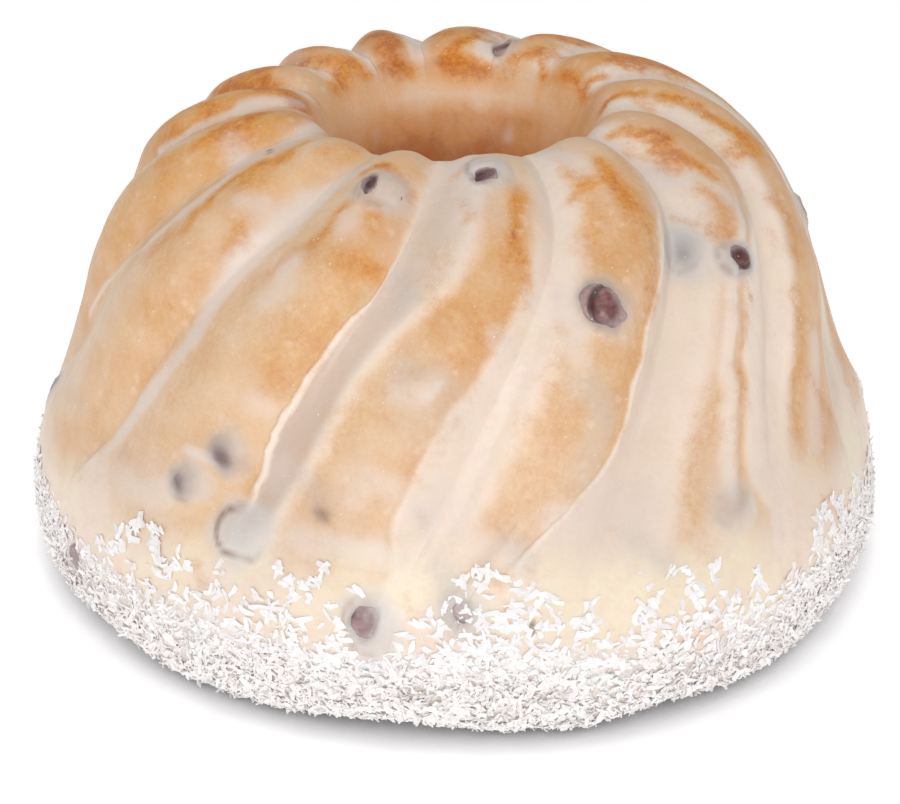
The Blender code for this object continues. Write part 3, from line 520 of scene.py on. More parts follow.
CREAM = (
    # belly
    (0.80, 4.4, (-0.31, 0.677), (-0.07, 0.677), (0.08, 0.681)), (1.00, 4.6, (-0.27, 0.703), (-0.02, 0.698)),
    (0.80, 5.0, (0.80, 0.671), (1.14, 0.689), (1.27, 0.703)), (1.00, 4.0, (-1.22, 0.656), (-1.14, 0.695)),
    (0.90, 4.6, (1.70, 0.690), (1.69, 0.716), (1.87, 0.751)), (1.00, 5.0, (3.09, 0.680), (2.98, 0.725)),
    (0.70, 5.0, (-2.12, 0.723), (-1.95, 0.733)), (0.80, 4.0, (-1.33, 0.762), (-1.14, 0.754)),
    (0.80, 4.6, (1.25, 0.724), (1.49, 0.712)), (0.70, 5.0, (0.93, 0.739), (1.12, 0.733)),
    (0.60, 4.0, (-0.45, 0.740), (-0.33, 0.718)), (0.60, 4.0, (0.16, 0.677), (0.37, 0.697)),
    (0.50, 3.0, (-0.82, 0.698), (-0.73, 0.712)),
)
DARK = (
    (0.55, 1.3, (-0.63, 0.611), (-0.60, 0.613)), (1.00, 0.5, (0.78, 0.739), (0.80, 0.746)),
    (0.08, 1.2, (-0.13, 0.599), (-0.10, 0.605)), (0.90, 0.5, (-2.90, 0.141), (-2.77, 0.146)),
)


def along(table, groove, s):
    """Value of a row of a band table at places s, for an array of groove numbers."""
    out = np.zeros(np.shape(s))
    for j in range(FLUTES):
        here = groove == j
        if here.any():
            out[here] = monotone(tuple(zip(BAND_S, table[j])), np.clip(s[here], BAND_S[0], BAND_S[-1]))
    return out


def strokes(table, az_deg, s, wobble, soft=(0.10, 1.15)):
    """Strength of the nearest brush strokes at each place: a row is strength, half width in mm and
    the (u, s) places that its middle line passes."""
    out = np.zeros(np.shape(s))
    run = arc_mm(s)
    for strong, half, *places in table:
        at_u = np.array([q[0] for q in places], float)
        at_s = np.array([q[1] for q in places], float)
        k = np.floor(at_u).astype(np.int64)
        a = groove_azimuth(k, at_s) * (1.0 - at_u + k) + groove_azimuth(k + 1, at_s) * (at_u - k)
        a = np.unwrap(np.radians(a))
        y = arc_mm(at_s)
        far = 2.6 * half + 1.2
        radius = BELLY_R * 1000.0 * np.maximum(spline(1, at_s).mean(), 0.2)
        middle = 0.5 * (a.min() + a.max())
        from_middle = (np.radians(az_deg) - middle + np.pi) % (2.0 * np.pi) - np.pi
        near = (np.abs(from_middle) < 0.5 * (a.max() - a.min()) + far / radius * 1.3) \
            & (run > y.min() - far) & (run < y.max() + far)
        if not near.any():
            continue
        px, py = from_middle[near] * radius, run[near]
        best = np.full(px.shape, 1e9)
        ax = (a - middle) * radius
        if len(places) == 1:
            best = np.hypot(px - ax[0], py - y[0])
        for i in range(len(places) - 1):
            dx, dy = ax[i + 1] - ax[i], y[i + 1] - y[i]
            t = np.clip(((px - ax[i]) * dx + (py - y[i]) * dy) / (dx * dx + dy * dy + 1e-9), 0.0, 1.0)
            best = np.minimum(best, np.hypot(px - ax[i] - t * dx, py - y[i] - t * dy))
        far_off = np.maximum(best / (half * soft[1]) + wobble[near] - soft[0], 0.0)
        out[near] = 1.0 - (1.0 - out[near]) * (1.0 - np.clip(strong * np.exp(-1.25 * far_off ** 2), 0.0, 0.98))
    return out


def back_strokes(seed):
    """Browned strokes of the hidden flutes, along their ridges and near the crest as in front."""
    rng = np.random.default_rng(seed)
    rows = []
    for k in range(3, 9):
        u = k + rng.uniform(0.40, 0.60)
        s = rng.uniform(0.12, 0.18)
        while s < 0.62:
            places, strong, half = [], rng.uniform(0.55, 1.15), rng.uniform(1.0, 2.6)
            for _ in range(rng.integers(2, 5)):
                places.append((u, s))
                u = np.clip(u + rng.uniform(-0.05, 0.08), k + 0.35, k + 0.82)
                s += rng.uniform(0.02, 0.035)
            rows.append((strong * (1.0 if s < 0.45 else 0.65), half, *places))
            s += rng.uniform(0.00, 0.04)
        for _ in range(7):
            u0, s0 = k + rng.uniform(0.15, 0.80), rng.uniform(0.12, 0.60)
            du, ds = rng.uniform(-0.12, 0.12), rng.uniform(0.01, 0.05)
            rows.append((rng.uniform(0.35, 0.75), rng.uniform(1.6, 3.8), (u0, s0), (u0 + du, s0 + ds), (u0 + 1.6 * du, s0 + 2.0 * ds)))
        if 3 < k < 8:
            for _ in range(3):
                u0, s0 = k + rng.uniform(0.3, 0.75), rng.uniform(0.09, 0.17)
                rows.append((rng.uniform(0.7, 1.1), rng.uniform(1.2, 2.2), (u0, s0), (u0 + rng.uniform(-0.2, 0.2), s0 + 0.02)))
    for _ in range(12):
        u0, s0 = rng.uniform(3.2, 9.0), rng.uniform(0.68, 0.76)
        rows.append((rng.uniform(0.4, 0.85), rng.uniform(1.2, 3.0), (u0, s0), (u0 + rng.uniform(-0.1, 0.1), s0 + 0.015)))
    return tuple(rows)


def back_glaze(seed):
    """Dashes and threads of white glaze on the hidden flutes."""
    rng = np.random.default_rng(seed)
    rows = []
    for _ in range(22):
        u0, s0 = rng.uniform(3.2, 9.0), rng.uniform(0.12, 0.64)
        rows.append((rng.uniform(0.4, 0.75), rng.uniform(1.2, 3.2), (u0, s0), (u0 + rng.uniform(-0.1, 0.1), s0 + rng.uniform(0.01, 0.06))))
    for _ in range(12):
        u0, s0 = rng.uniform(3.2, 9.0), rng.uniform(0.66, 0.72)
        rows.append((rng.uniform(0.6, 0.85), rng.uniform(2.6, 4.6), (u0, s0), (u0 + rng.uniform(0.05, 0.3), s0 + rng.uniform(-0.01, 0.02))))
    return tuple(rows)


def back_cream(seed):
    rng = np.random.default_rng(seed)
    return tuple((rng.uniform(0.6, 1.0), rng.uniform(4.0, 6.0), (u0, s0), (u0 + rng.uniform(0.1, 0.4), s0 + rng.uniform(-0.01, 0.02)))
                 for u0, s0 in zip(np.linspace(3.4, 8.8, 12) + rng.uniform(-0.2, 0.2, 12), rng.uniform(0.70, 0.75, 12)))


ALL_AMBER = AMBER + back_strokes(5)
ALL_GLAZE = GLAZE + back_glaze(6)
ALL_CREAM = CREAM + back_cream(7)


def looks(u, s, p, az_deg):
    """Glaze cover, drip edge, browning and the rest at places of the surface."""
    k = np.floor(u).astype(np.int64)
    w = u - k
    flute, before, after = k % FLUTES, k % FLUTES, (k + 1) % FLUTES
    width = flute_mm(s)
    run = arc_mm(s)
    # wandering of the edges: the same all the way across a groove
    def wander(groove, size_mm, seed):
        q = np.stack([run / size_mm, groove * 3.7 + 0.5, 0.0 * run + 0.5], axis=-1)
        return noise(q, 1.0, seed)
    left_r = -along(BAND_LEFT, after, s) + 0.020 * wander(after, 5.0, 11) + 0.013 * wander(after, 2.2, 12)
    right_l = along(BAND_RIGHT, before, s) + 0.022 * wander(before, 9.0, 13) + 0.010 * wander(before, 3.5, 14)
    soft_l = BAND_FORM[before, 2]
    lasts = np.where(after == FLUTES - 1, 0.610, np.where(after == 1, 0.660, 0.655))
    sharp = BAND_FORM[after, 0] * smooth(0.16, 0.30, s) * smooth(0.035, -0.025, s - lasts)
    plenty_l, plenty_r = BAND_FORM[before, 3], BAND_FORM[after, 3]
    d_right = (w - 1.0 - left_r) * width                       # right of the next groove's drip edge
    cross = np.minimum(0.84, right_l + 1.5 * soft_l + 0.04)
    cross = np.minimum(cross, 1.0 + left_r - 0.04)
    edge = np.clip(np.maximum(d_right, (cross - w) * width), -4.0, 4.0)
    # the band's own cover: full from its drip edge over the groove, thinning out to the right
    over_left = (1.0 - smooth(right_l - 0.35 * soft_l, right_l + 1.2 * soft_l, w)) * plenty_l
    over_right = smooth(-0.22, -0.12, (w - 1.0) - left_r) * plenty_r
    ends = FACES[flute, 2] * (1.0 - smooth(0.80, 1.0, w)) + FACES[after, 2] * smooth(0.80, 1.0, w)
    ends = ends + 0.016 * noise(p, 0.012, 31) + 0.008 * noise(p, 0.004, 32) - 0.06 * smooth(0.45, 0.05, w) * (flute != 1)
    belly = smooth(-0.045, 0.055, s - ends)
    deep = BAND_FORM[before, 4] * (w < 0.5) + BAND_FORM[after, 4] * (w >= 0.5)
    # channel: the trough of glaze along the groove, a little thinner there and painted darker as shade in the crease
    channel = np.exp(-(np.maximum(w - 0.45 * right_l, 0.0) / (0.34 * right_l + 0.02)) ** 2) * (w < 0.5) \
        + smooth(0.9, 1.7, d_right) * (w >= 0.5)
    channel = channel * deep * smooth(0.06, 0.22, s) * smooth(0.71, 0.61, s) * (0.45 + 0.55 * smooth(0.28, 0.56, s))
    # rims of the bands: raised glaze, also painted whiter in the material as a highlight
    rim_l = np.exp(-((w - right_l) / 0.048) ** 2) * BAND_FORM[before, 1] * smooth(0.22, 0.34, s)
    lip_r = np.exp(-((d_right - 0.45) / 0.55) ** 2) * sharp
    band = np.maximum(over_left, over_right)
    at_edge = np.where(d_right > -1.5, sharp, np.where(w < 0.5, 1.0, sharp))
    # thin film all over the faces
    crest = smooth(0.24, 0.10, s)
    face = FACES * 1.0
    def of_face(low_s, high_s):
        here = face[flute, low_s] * (1.0 - crest) + face[flute, high_s] * crest
        next_one = face[after, low_s] * (1.0 - crest) + face[after, high_s] * crest
        return here * (1.0 - smooth(0.86, 1.0, w)) + next_one * smooth(0.86, 1.0, w)
    film = of_face(1, 4)
    film = film + 0.20 * fbm(p, 0.013, 3, 41) + 0.12 * fbm(p, 0.004, 2, 42)
    film = film + 0.10 * smooth(0.42, 0.60, s)
    inside = smooth(0.010, -0.040, s)
    film = film * (1.0 - inside) + inside * (0.06 + 0.10 * fbm(p * np.array([1.0, 1.0, 0.4]), 0.007, 3, 43))
    lip = smooth(0.10, -0.01, s)
    band = band * (1.0 - smooth(0.03, -0.02, s))
    film = np.clip(film + 0.30 * lip * (1.0 - inside) * (0.5 + 0.7 * noise(p, 0.007, 44)), 0.0, 1.0)
    # browning: the face's own, then the strokes
    wobble = 0.42 * fbm(p, 0.0050, 3, 52)
    high_up = smooth(0.38, 0.24, s) * (k < 10)
    amber = strokes(ALL_AMBER, az_deg, s, wobble, (0.10, 1.38)) * high_up + strokes(ALL_AMBER, az_deg, s, wobble) * (1.0 - high_up)
    amber = amber * (0.70 - 0.26 * smooth(0.20, 0.36, s)) * np.where(k >= 10, 0.94, 1.0)
    white = strokes(ALL_GLAZE, az_deg, s, 0.30 * fbm(p, 0.0060, 2, 53), (0.20, 1.00))
    cool = strokes(COOL, az_deg, s, 0.30 * fbm(p, 0.0060, 2, 54), (0.0, 1.2))
    cream = strokes(ALL_CREAM, az_deg, s, 0.35 * fbm(p, 0.010, 2, 61), (0.0, 1.3))
    dark = strokes(DARK, az_deg, s, 0.0 * s, (0.1, 1.0))
    # browner towards the right of each face, where it turns down into the next groove: partly browning, partly painted
    # shade
    right_brown_and_shade = np.array((0.35, 0.35, 0.50, 0.40) + (0.40,) * 7 + (0.25,) * 3)[flute]
    brown = (of_face(0, 3) + 0.05) * (0.85 + right_brown_and_shade * smooth(0.18, 0.80, w)) + 0.15 * fbm(p, 0.016, 3, 51) + 0.10 * fbm(p, 0.006, 2, 55)
    brown = np.clip(brown, 0.02, 0.70)
    dull = np.clip(0.40 + 0.60 * smooth(0.16, 0.34, s + 0.05 * fbm(p, 0.012, 2, 58)) - 0.80 * amber * smooth(0.45, 0.25, s), 0.0, 1.0)
    brown = brown + amber * (0.95 - 0.85 * brown)
    round_hole = (az_deg + 180.0) % 360.0 - 180.0
    depth = s + 0.012 * fbm(p, 0.012, 3, 53) + 0.006 * fbm(p, 0.005, 2, 56)
    pale_wall = np.exp(-((depth + 0.044) / 0.013) ** 2) * hump(round_hole, 178.0, 34.0)
    # the hole wall darkens towards its bottom: partly browner crust, partly painted shade deep in the hole
    wall = 0.50 + 0.16 * smooth(-0.045, -0.075, depth) + 0.34 * smooth(-0.080, -0.135, depth) \
        + 0.42 * fbm(p * np.array([1.0, 1.0, 0.55]), 0.008, 4, 57) + 0.16 * np.clip(fbm(p, 0.005, 2, 59), 0, 1) - 0.52 * pale_wall \
        + 0.16 * hump(round_hole, -85.0, 45.0)
    # white glaze drips on the hole wall; the brightest spot and the short line above it are partly glaze, partly a
    # painted highlight on a glossy drip
    drop = strokes(((0.9, 1.1, (4.44, -0.094), (4.44, -0.100)), (0.5, 0.8, (4.52, -0.050), (4.50, -0.060)),
                    (0.4, 1.4, (7.5, -0.085), (7.5, -0.095)), (0.4, 1.2, (9.6, -0.08), (9.6, -0.10)),
                    (0.5, 1.4, (1.2, -0.08), (1.2, -0.11)), (0.4, 1.6, (12.1, -0.10), (12.0, -0.13))), az_deg, s, 0.3 * wobble, (0.0, 1.4))
    film = np.maximum(film, drop * 0.75)
    brown = brown * (1.0 - inside) + np.clip(wall + 0.4 * amber, 0.0, 1.1) * inside
    # thickness of the glaze in mm
    step_up = smooth(-0.45, 0.95, edge) * sharp + smooth(-2.2, 2.2, edge) * (1.0 - sharp)
    pool = band * np.where(w < 0.5, 1.0, step_up)
    thick = 0.22 + 0.10 * film + pool * 0.42 + 0.22 * lip_r * (1.0 - belly) * plenty_r + 0.30 * rim_l * (1.0 - belly) \
        - 0.14 * channel * pool + 0.16 * white - 0.10 * amber * (1.0 - belly)
    valley = np.exp(-(np.minimum(w, 1.0 - w) * width / 2.6) ** 2) * smooth(0.32, 0.46, s) * (1.0 - belly)
    thick = thick + 0.32 * valley * deep * np.clip(band, 0.0, 1.0)
    thick = np.maximum(thick, belly * 0.62) + 0.05 * belly * pool - 0.06 * belly * amber
    return {
        "film": np.clip(film, 0, 1), "band": np.clip(band, 0, 1), "edge": edge, "sharp": np.clip(at_edge, 0, 1),
        "belly": belly, "brown": np.clip(brown, 0, 1.3), "amber": np.clip(amber, 0, 1), "white": white, "cool": cool,
        "cream": cream, "dark": dark, "thick": thick, "channel": np.clip(channel, 0, 1),
        "rim": np.clip(rim_l + 0.9 * lip_r, 0, 1) * (1.0 - belly), "wall": inside, "dull": dull,
    }


# ================================================================ coconut: where it sticks
# upper edge of the scattered flakes round the cake, azimuth and place
COCONUT_TOP = (
    (-180, 0.735), (-168, 0.745), (-156, 0.72), (-146, 0.75), (-134, 0.735), (-122, 0.76), (-110, 0.73), (-98, 0.74),
    (-88, 0.75), (-79, 0.743), (-68, 0.756), (-61, 0.762), (-57, 0.774), (-53, 0.773), (-46, 0.752), (-37, 0.730),
    (-33, 0.720), (-28, 0.721), (-20, 0.728), (-16, 0.742), (-12, 0.768), (-8, 0.774), (-5, 0.732), (-1, 0.700),
    (5, 0.684), (11, 0.702), (14, 0.722), (17, 0.730), (19, 0.766), (21, 0.752), (23, 0.735), (28, 0.730), (32, 0.736),
    (37, 0.753), (44, 0.768), (47, 0.756), (50, 0.735), (54, 0.728), (59, 0.738), (65, 0.745), (74, 0.751), (86, 0.74),
    (98, 0.76), (110, 0.735), (122, 0.75), (134, 0.77), (146, 0.74), (158, 0.725), (170, 0.755), (180, 0.735),
)
# upper edge of the thick bed of crumbs
COCONUT_BED = (
    (-180, 0.80), (-162, 0.79), (-145, 0.81), (-128, 0.80), (-110, 0.785), (-90, 0.79), (-72, 0.785), (-58, 0.800),
    (-50, 0.792), (-42, 0.794), (-35, 0.793), (-29, 0.797), (-24, 0.798), (-18, 0.802), (-12, 0.806), (-6, 0.795),
    (-1, 0.796), (5, 0.790), (11, 0.797), (17, 0.792), (23, 0.795), (30, 0.815), (37, 0.810), (44, 0.798), (50, 0.784),
    (61, 0.776), (72, 0.778), (90, 0.79), (110, 0.80), (130, 0.785), (150, 0.81), (166, 0.795), (180, 0.80),
)
# small heaps of flakes higher up, as brush strokes
COCONUT_HEAPS = (
    (1.00, 1.6, (-1.45, 0.698), (-1.37, 0.703)), (1.00, 2.0, (-1.36, 0.696), (-1.29, 0.721)),
    (0.90, 1.4, (-1.53, 0.725), (-1.48, 0.742)), (0.90, 1.2, (-1.47, 0.716), (-1.43, 0.726)),
    (0.80, 1.6, (-1.60, 0.762), (-1.48, 0.742)), (1.00, 1.4, (-1.19, 0.715), (-1.11, 0.730)),
    (1.00, 1.2, (-1.25, 0.740), (-1.19, 0.739)), (0.90, 1.0, (-0.99, 0.713), (-0.95, 0.713)),
    (1.00, 1.2, (-0.67, 0.698), (-0.60, 0.706)), (0.70, 0.8, (-0.45, 0.677), (-0.43, 0.681)),
    (0.70, 0.7, (-0.47, 0.696), (-0.44, 0.696)), (0.90, 1.1, (-0.53, 0.721), (-0.52, 0.723)),
    (1.00, 1.1, (-0.48, 0.705), (-0.44, 0.722)), (0.90, 0.8, (-0.34, 0.724), (-0.31, 0.734)),
    (1.00, 1.3, (-0.28, 0.742), (-0.22, 0.754)), (0.60, 0.7, (-0.26, 0.699), (-0.22, 0.702)),
    (1.00, 1.6, (-0.68, 0.744), (-0.61, 0.751)), (1.00, 1.6, (-0.57, 0.739), (-0.48, 0.760)),
    (1.00, 1.6, (-0.48, 0.764), (-0.45, 0.781)), (1.00, 1.2, (-0.97, 0.745), (-0.90, 0.743)),
    (1.00, 1.8, (-0.25, 0.771), (-0.17, 0.769)), (1.00, 1.1, (0.27, 0.672), (0.29, 0.672)),
    (1.00, 1.1, (0.29, 0.682), (0.33, 0.682)), (0.90, 1.1, (0.41, 0.672), (0.44, 0.672)),
    (0.80, 1.0, (0.35, 0.673), (0.40, 0.687)), (1.00, 1.3, (0.54, 0.683), (0.66, 0.696)),
    (1.00, 1.3, (0.73, 0.696), (0.79, 0.704)), (1.00, 1.3, (1.03, 0.715), (1.07, 0.731)),
    (1.00, 1.6, (1.04, 0.740), (1.09, 0.753)), (0.90, 1.2, (1.05, 0.755), (1.14, 0.769)),
    (0.80, 0.6, (1.22, 0.689), (1.25, 0.706)), (0.80, 0.7, (1.27, 0.724), (1.27, 0.750)),
    (1.00, 1.7, (1.38, 0.701), (1.47, 0.723)), (1.00, 1.3, (1.49, 0.733), (1.52, 0.743)),
    (1.00, 1.4, (1.56, 0.703), (1.56, 0.713)), (1.00, 1.2, (1.51, 0.722), (1.57, 0.723)),
    (1.00, 1.5, (1.31, 0.716), (1.33, 0.733)), (1.00, 1.3, (1.82, 0.742), (1.87, 0.760)),
    (1.00, 1.3, (2.08, 0.763), (2.06, 0.774)), (1.00, 1.6, (1.29, 0.751), (1.33, 0.764)),
    (1.00, 1.2, (1.43, 0.751), (1.45, 0.769)), (1.00, 1.6, (1.59, 0.762), (1.66, 0.779)),
    (1.00, 1.6, (2.26, 0.718), (2.33, 0.743)), (1.00, 1.6, (2.36, 0.714), (2.52, 0.751)),
    (1.00, 1.6, (2.53, 0.721), (2.70, 0.754)), (1.00, 1.5, (3.01, 0.741), (3.12, 0.771)),
    (0.90, 1.6, (2.29, 0.751), (2.48, 0.773)), (1.00, 1.5, (3.60, 0.70), (3.70, 0.72)), (1.00, 1.7, (4.30, 0.71), (4.42, 0.72)),
    (0.90, 1.3, (5.10, 0.69), (5.14, 0.71)), (1.00, 1.6, (5.90, 0.70), (6.05, 0.72)), (0.90, 1.4, (6.70, 0.70), (6.76, 0.72)),
    (1.00, 1.6, (7.40, 0.69), (7.52, 0.71)), (1.00, 1.6, (8.20, 0.70), (8.34, 0.72)), (0.90, 1.3, (8.80, 0.71), (8.86, 0.73)),
)


def coconut_edges(az_deg):
    """Upper edges of the scattered flakes and of the bed at azimuths."""
    az = (az_deg + 180.0) % 360.0 - 180.0
    return (np.interp(az, [r[0] for r in COCONUT_TOP], [r[1] for r in COCONUT_TOP]),
            np.interp(az, [r[0] for r in COCONUT_BED], [r[1] for r in COCONUT_BED]))


# ================================================================ raisins: where they sit
def cake_frame(az_deg, s):
    """Point, outward normal and the direction down the side of the crust."""
    def at(a, q):
        k = 0
        while groove_azimuth(np.array(k + 1), np.array(q)) <= a:
            k += 1
        while groove_azimuth(np.array(k), np.array(q)) > a:
            k -= 1
        g0, g1 = float(groove_azimuth(np.array(k), np.array(q))), float(groove_azimuth(np.array(k + 1), np.array(q)))
        return crust(np.array([k + (a - g0) / (g1 - g0)]), np.array([q]))[1][0]
    p = at(az_deg, s)
    across = at(az_deg + 3.0, s) - at(az_deg - 3.0, s)
    down = at(az_deg, s + 0.02) - at(az_deg, s - 0.02)
    normal = np.cross(down, across)
    normal /= np.linalg.norm(normal)
    down /= np.linalg.norm(down)
    side = np.cross(normal, down)
    side /= np.linalg.norm(side)
    if side @ across < 0:
        side = -side
    return p, normal, side, down - (down @ normal) * normal


class Raisin:
    def __init__(self, number, row):
        az, s, length, width, thick, turn, sunk, open_x, open_y, open_size, self.dark, self.ring, self.film = row
        self.name, self.seed, self.number = f"raisin_{number:02d}", 1.3 * (number - 1) + 0.4, number
        p, self.normal, self.side, self.down = cake_frame(az, s)
        turn_side = np.cross(self.normal, self.down)
        a = math.radians(turn)
        self.x = math.cos(a) * turn_side + math.sin(a) * self.down
        self.y = -math.sin(a) * turn_side + math.cos(a) * self.down
        self.centre = p - self.normal * sunk / 1000.0
        self.half = np.array([length, width, thick]) / 2000.0
        self.sunk = sunk / 1000.0
        self.mean = (length + width) / 4000.0
        self.open = (open_x, open_y, open_size)

    def reach(self, p):
        """1 at the raisin's outline seen from above, less inside it, and the height over its centre."""
        d = p - self.centre
        x, y, z = d @ self.x / self.half[0], d @ self.y / self.half[1], d @ self.normal
        return (np.abs(x) ** 2.4 + np.abs(y) ** 2.4 + 1e-12) ** (1.0 / 2.4), z

    def across(self, p):
        """Place seen from above: to the right and down the side, 1 at the raisin's outline."""
        d = p - self.centre
        return d @ self.side / self.mean, d @ self.down / self.mean

    def window(self, p):
        """Less than 1 where the skin is bare, more where glaze covers it."""
        if self.open[2] <= 0.0:
            return np.full(p.shape[:-1], 9.0)
        x, y = self.across(p)
        slim = {4: 0.62, 5: 2.3}.get(self.number, 1.25)
        return np.hypot(slim * (x - self.open[0]), y - self.open[1]) / self.open[2] + 0.22 * noise(p, 0.0032, 95) + 0.10 * noise(p, 0.0014, 96)


raisins = [Raisin(i + 1, row) for i, row in enumerate(RAISINS)]


# ================================================================ the glazed cake
def drape(p, thick):
    """Glaze height in mm over the crust where it is drawn over the raisins, and how they show."""
    grey = np.zeros(p.shape[:-1])
    line = np.zeros(p.shape[:-1])
    halo = np.zeros(p.shape[:-1])
    for r in raisins:
        close = np.linalg.norm(p - r.centre, axis=-1) < 0.0115
        if not close.any():
            continue
        q = p[close]
        far, z = r.reach(q)
        win = r.window(q)
        cap = (r.half[2] * np.clip(1.0 - far ** 2.4, 0.0, 1.0) ** (1.0 / 2.4) - r.sunk) * 1000.0
        cap = np.where(far < 1.0, cap, -r.sunk * 1000.0 - 3.0 * (far - 1.0))
        wide = 0.90 * far
        over = (r.half[2] * np.clip(1.0 - wide ** 2.4, 0.0, 1.0) ** (1.0 / 2.4) - r.sunk) * 1000.0
        over = np.where(wide < 1.0, over, -r.sunk * 1000.0 - 3.0 * (wide - 1.0)) + 0.24 - 0.80 * smooth(1.06, 0.80, win)
        t = thick[close]
        both = 0.5 * (over + t + np.sqrt((over - t) ** 2 + 0.35 ** 2)) - 0.04
        bare = smooth(1.02, 0.86, win) * smooth(1.04, 0.92, far)
        height = both * (1.0 - bare) + np.minimum(both, cap - 0.30 - 0.80 * smooth(0.90, 0.70, win)) * bare
        x, y = r.across(q)
        height = height + 0.32 * r.ring * np.exp(-((far - 1.03) / 0.13) ** 2)
        thick[close] = height
        soft = smooth(1.30, 0.30, far + 0.22 * noise(q, 0.004, 97))
        # the fruit shows through the glaze darker on its lower left side: painted shade under the raised dome
        shade = 0.72 - 0.42 * np.clip(0.75 * x - 0.65 * y, -1.0, 1.0) + 0.35 * noise(q, 0.0035, 93)
        through = soft * r.dark * np.clip(shade, 0.15, 1.25)
        through = np.maximum(through, smooth(1.40, 0.98, win) * smooth(1.10, 0.90, far) * 0.55)
        grey[close] = np.maximum(grey[close], through)
        halo[close] = np.maximum(halo[close], smooth(1.60, 0.80, far + 0.25 * noise(q, 0.005, 98)) * min(1.0, 0.3 + r.ring))
        outline = np.exp(-((far - 0.95 + 0.03 * noise(q, 0.003, 99)) / 0.105) ** 2) * r.ring
        toward = (-x + 0.35 * y) / np.maximum(np.hypot(x, y), 1e-6)
        line[close] = np.maximum(line[close], outline * smooth(-0.9, 0.5, toward + 0.5 * noise(q, 0.004, 94)))
    return thick, grey, line, halo


def grid_normals(p):
    """Outward unit normals of a grid of points that closes round its columns."""
    du = np.roll(p, -1, axis=1) - np.roll(p, 1, axis=1)
    ds = np.empty_like(p)
    ds[1:-1] = p[2:] - p[:-2]
    ds[0], ds[-1] = p[1] - p[0], p[-1] - p[-2]
    n = np.cross(ds, du)
    return n / np.maximum(np.linalg.norm(n, axis=-1, keepdims=True), 1e-12)


def foot_relief(s, p, bed):
    """Rough bed under the coconut, in mm."""
    return smooth(-0.01, 0.06, s - bed) * (0.7 * fbm(p, 0.0035, 3, 71) + 0.55)


def glazed(u, s):
    """Points of the outside of the glaze on a grid, with its looks."""
    az_deg, p = crust(u, s)
    n = grid_normals(p)
    # glaze fills the bottoms of the grooves, so its surface turns more gently there than the crust
    gentle = n
    for _ in range(6):
        gentle = 0.5 * gentle + 0.25 * (np.roll(gentle, 1, axis=1) + np.roll(gentle, -1, axis=1))
    gentle = gentle / np.maximum(np.linalg.norm(gentle, axis=-1, keepdims=True), 1e-12)
    w = u - np.floor(u)
    bottom = (np.exp(-(np.minimum(w, 1.0 - w) * flute_mm(s) / 3.0) ** 2) * smooth(0.04, 0.16, s))[..., None]
    n = n * (1.0 - bottom) + gentle * bottom
    n = n / np.maximum(np.linalg.norm(n, axis=-1, keepdims=True), 1e-12)
    fields = looks(u, s, p, az_deg)
    on_side = smooth(-0.60, -0.50, s) * smooth(0.995, 0.93, s)
    lumps = 0.26 * noise(p, 0.014, 81) + 0.13 * noise(p, 0.006, 82) + 0.04 * noise(p, 0.0026, 83)
    top, bed = coconut_edges(az_deg)
    thick = fields["thick"] + foot_relief(s, p, bed) + lumps * (1.0 - 0.4 * fields["belly"])
    thick, fields["grey"], fields["line"], fields["halo"] = drape(p, thick)
    out = thick * on_side
    q = p + n * out[..., None] / 1000.0
    q[..., 2] = np.maximum(q[..., 2], np.where((s <= -0.6499) | (s >= 0.9999), 0.0, 0.0003))
    among = np.clip((s - top) / (bed - top), 0.0, 1.0)
    fields["snow"] = np.clip(smooth(-0.025, 0.035, s - bed + 0.03 * fbm(p, 0.006, 2, 72)) + 0.30 * among ** 2, 0, 1)
    return az_deg, q, fields


def rows_of_section():
    inside = np.concatenate([np.linspace(-0.65, -0.20, 13)[:-1], np.linspace(-0.20, 0.0, 15)[:-1]])
    top = np.linspace(0.0, 0.70, 86)[:-1]
    foot = np.linspace(0.70, 0.90, 22)[:-1]
    under = np.linspace(0.90, 1.0, 13)
    return np.concatenate([inside, top, foot, under])


def columns_of_flute():
    return np.concatenate([np.linspace(0.0, 0.30, 15)[:-1], np.linspace(0.30, 0.62, 9)[:-1], np.linspace(0.62, 1.0, 26)[:-1]])


def new_mesh(name, points, quads, smooth_shade=True):
    mesh = bpy.data.meshes.new(name)
    points = np.asarray(points, np.float32).reshape(-1, 3)
    quads = np.asarray(quads, np.int32).reshape(-1, 4)
    mesh.vertices.add(len(points))
    mesh.vertices.foreach_set("co", points.ravel())
    mesh.loops.add(quads.size)
    mesh.loops.foreach_set("vertex_index", quads.ravel())
    mesh.polygons.add(len(quads))
    mesh.polygons.foreach_set("loop_start", np.arange(0, quads.size, 4, dtype=np.int32))
    mesh.polygons.foreach_set("use_smooth", np.full(len(quads), smooth_shade))
    mesh.update(calc_edges=True)
    mesh.validate()
    ob = bpy.data.objects.new(name, mesh)
    bpy.context.scene.collection.objects.link(ob)
    return ob


def set_attribute(ob, name, values):
    layer = ob.data.attributes.new(name, "FLOAT", "POINT")
    layer.data.foreach_set("value", np.asarray(values, np.float32).ravel())


# ================================================================ materials
def linear(r, g, b):
    """Colour given as 0..255 display values."""
    out = []
    for c in (r, g, b):
        c = c / 255.0
        out.append(c / 12.92 if c <= 0.04045 else ((c + 0.055) / 1.055) ** 2.4)
    return (*out, 1.0)


